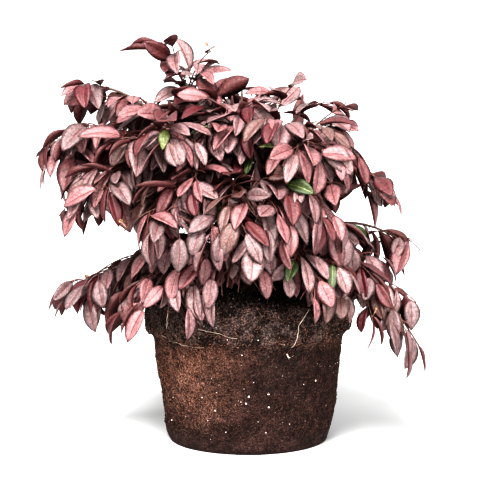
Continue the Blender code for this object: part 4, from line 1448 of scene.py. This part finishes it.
leafUnders = dict(
    under=leafMaterial("leafUnder", (0.088, 0.029, 0.028), 0.62, 1.3),
    greenUnder=leafMaterial("greenLeafUnder", (0.085, 0.11, 0.035), 0.62, 1.3),
)
leafRibs = dict(
    under=leafMaterial("leafRib", (0.105, 0.030, 0.030), 0.45, 0.0),
    greenUnder=leafMaterial("greenLeafRib", (0.16, 0.18, 0.06), 0.45, 0.0),
)
for toneName, tone in tones.items():
    toneLeaves = [leaf for leaf in leaves if leaf["tone"] == toneName]
    if not toneLeaves:
        continue
    bladeCorners, bladeFaces, bladeUv = leafBlades(toneLeaves)
    upper = leafMaterial(toneName + "Leaf", tone["colour"])
    finishes = [upper, leafRibs[tone["under"]], leafUnders[tone["under"]]]
    blades = makePiece(toneName + "Leaves", bladeCorners, bladeFaces, finishes, uv=bladeUv)
    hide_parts(*massNodes)


def stalkShapes():
    # a stalk from the twig's middle to each blade's base
    start = column(leaves, "axis")
    end = column(leaves, "foot") + column(leaves, "along") * leafShape["stalkInto"]
    steps = np.linspace(0, 1, 3)[None, :, None]
    paths = start[:, None] * (1 - steps) + end[:, None] * steps
    radii = np.broadcast_to(leafShape["stalkRadius"] * np.array((1.25, 0.9, 0.75)), paths.shape[:2])
    return tubes(paths, radii, 4, column(leaves, "facing")[:, None])


stalks = makePiece("leafStalks", *stalkShapes(), [twigMaterial("stalkSkin", twigTone["stalks"])])
print("leaves ready")


# Seed capsules: a few woody two-lobed ones on short stalks, out of last year's flowers

capsule = dict(
    every=15, at=0.93, size=0.0024, stalk=0.009, thick=0.00045, shape=(1.0, 0.8, 1.15), pinch=0.30,
    groove=0.35, seed=61, colour=(0.24, 0.145, 0.085),
)


def capsuleShapes():
    # each is a ball pinched into two lobes, at the end of a stalk that rises from a twig's end
    draw = np.random.default_rng(capsule["seed"])
    bearers = [twig for twig in twigs if twig["order"] == 1][:: capsule["every"]]
    start = np.array([arcPoint(twig["arc"], capsule["at"]) for twig in bearers])
    count = len(start)
    way = unit(unit(start - crownHeart) * 0.6 + up + draw.normal(0, 0.25, (count, 3)))
    bent = unit(way + draw.normal(0, 0.3, (count, 3)))
    long = capsule["stalk"] * draw.uniform(0.7, 1.2, (count, 1))
    paths = np.stack([start, start + way * long * 0.5, start + (way + bent) * long * 0.5], axis=1)
    aside = unit(np.cross(bent, draw.normal(size=(count, 3))))
    radii = np.full((count, 3), capsule["thick"])
    stalkPart = tubes(paths, radii, 4, aside[:, None])
    shape, walls, ends = roundShape(7, 14)
    groove = np.exp(-((shape[:, 0] / capsule["groove"]) ** 2)) * (shape[:, 2:] > -0.6)[:, 0]
    local = shape * (1 - capsule["pinch"] * groove)[:, None] * capsule["shape"]
    axes = np.stack([aside, np.cross(bent, aside), bent], 1)
    size = capsule["size"] * draw.uniform(0.75, 1.15, (count, 1, 1))
    centre = paths[:, -1] + bent * capsule["size"]
    corners = centre[:, None] + np.einsum("ck,nkd->ncd", local, axes) * size
    each = len(shape)
    balls = (corners.reshape(-1, 3), [(stamped(walls, each, count), 0), (stamped(ends, each, count), 0)])
    return joined([stalkPart, balls])


capsules = makePiece("seedCapsules", *capsuleShapes(), [bitMaterial("capsuleSkin", capsule["colour"])])
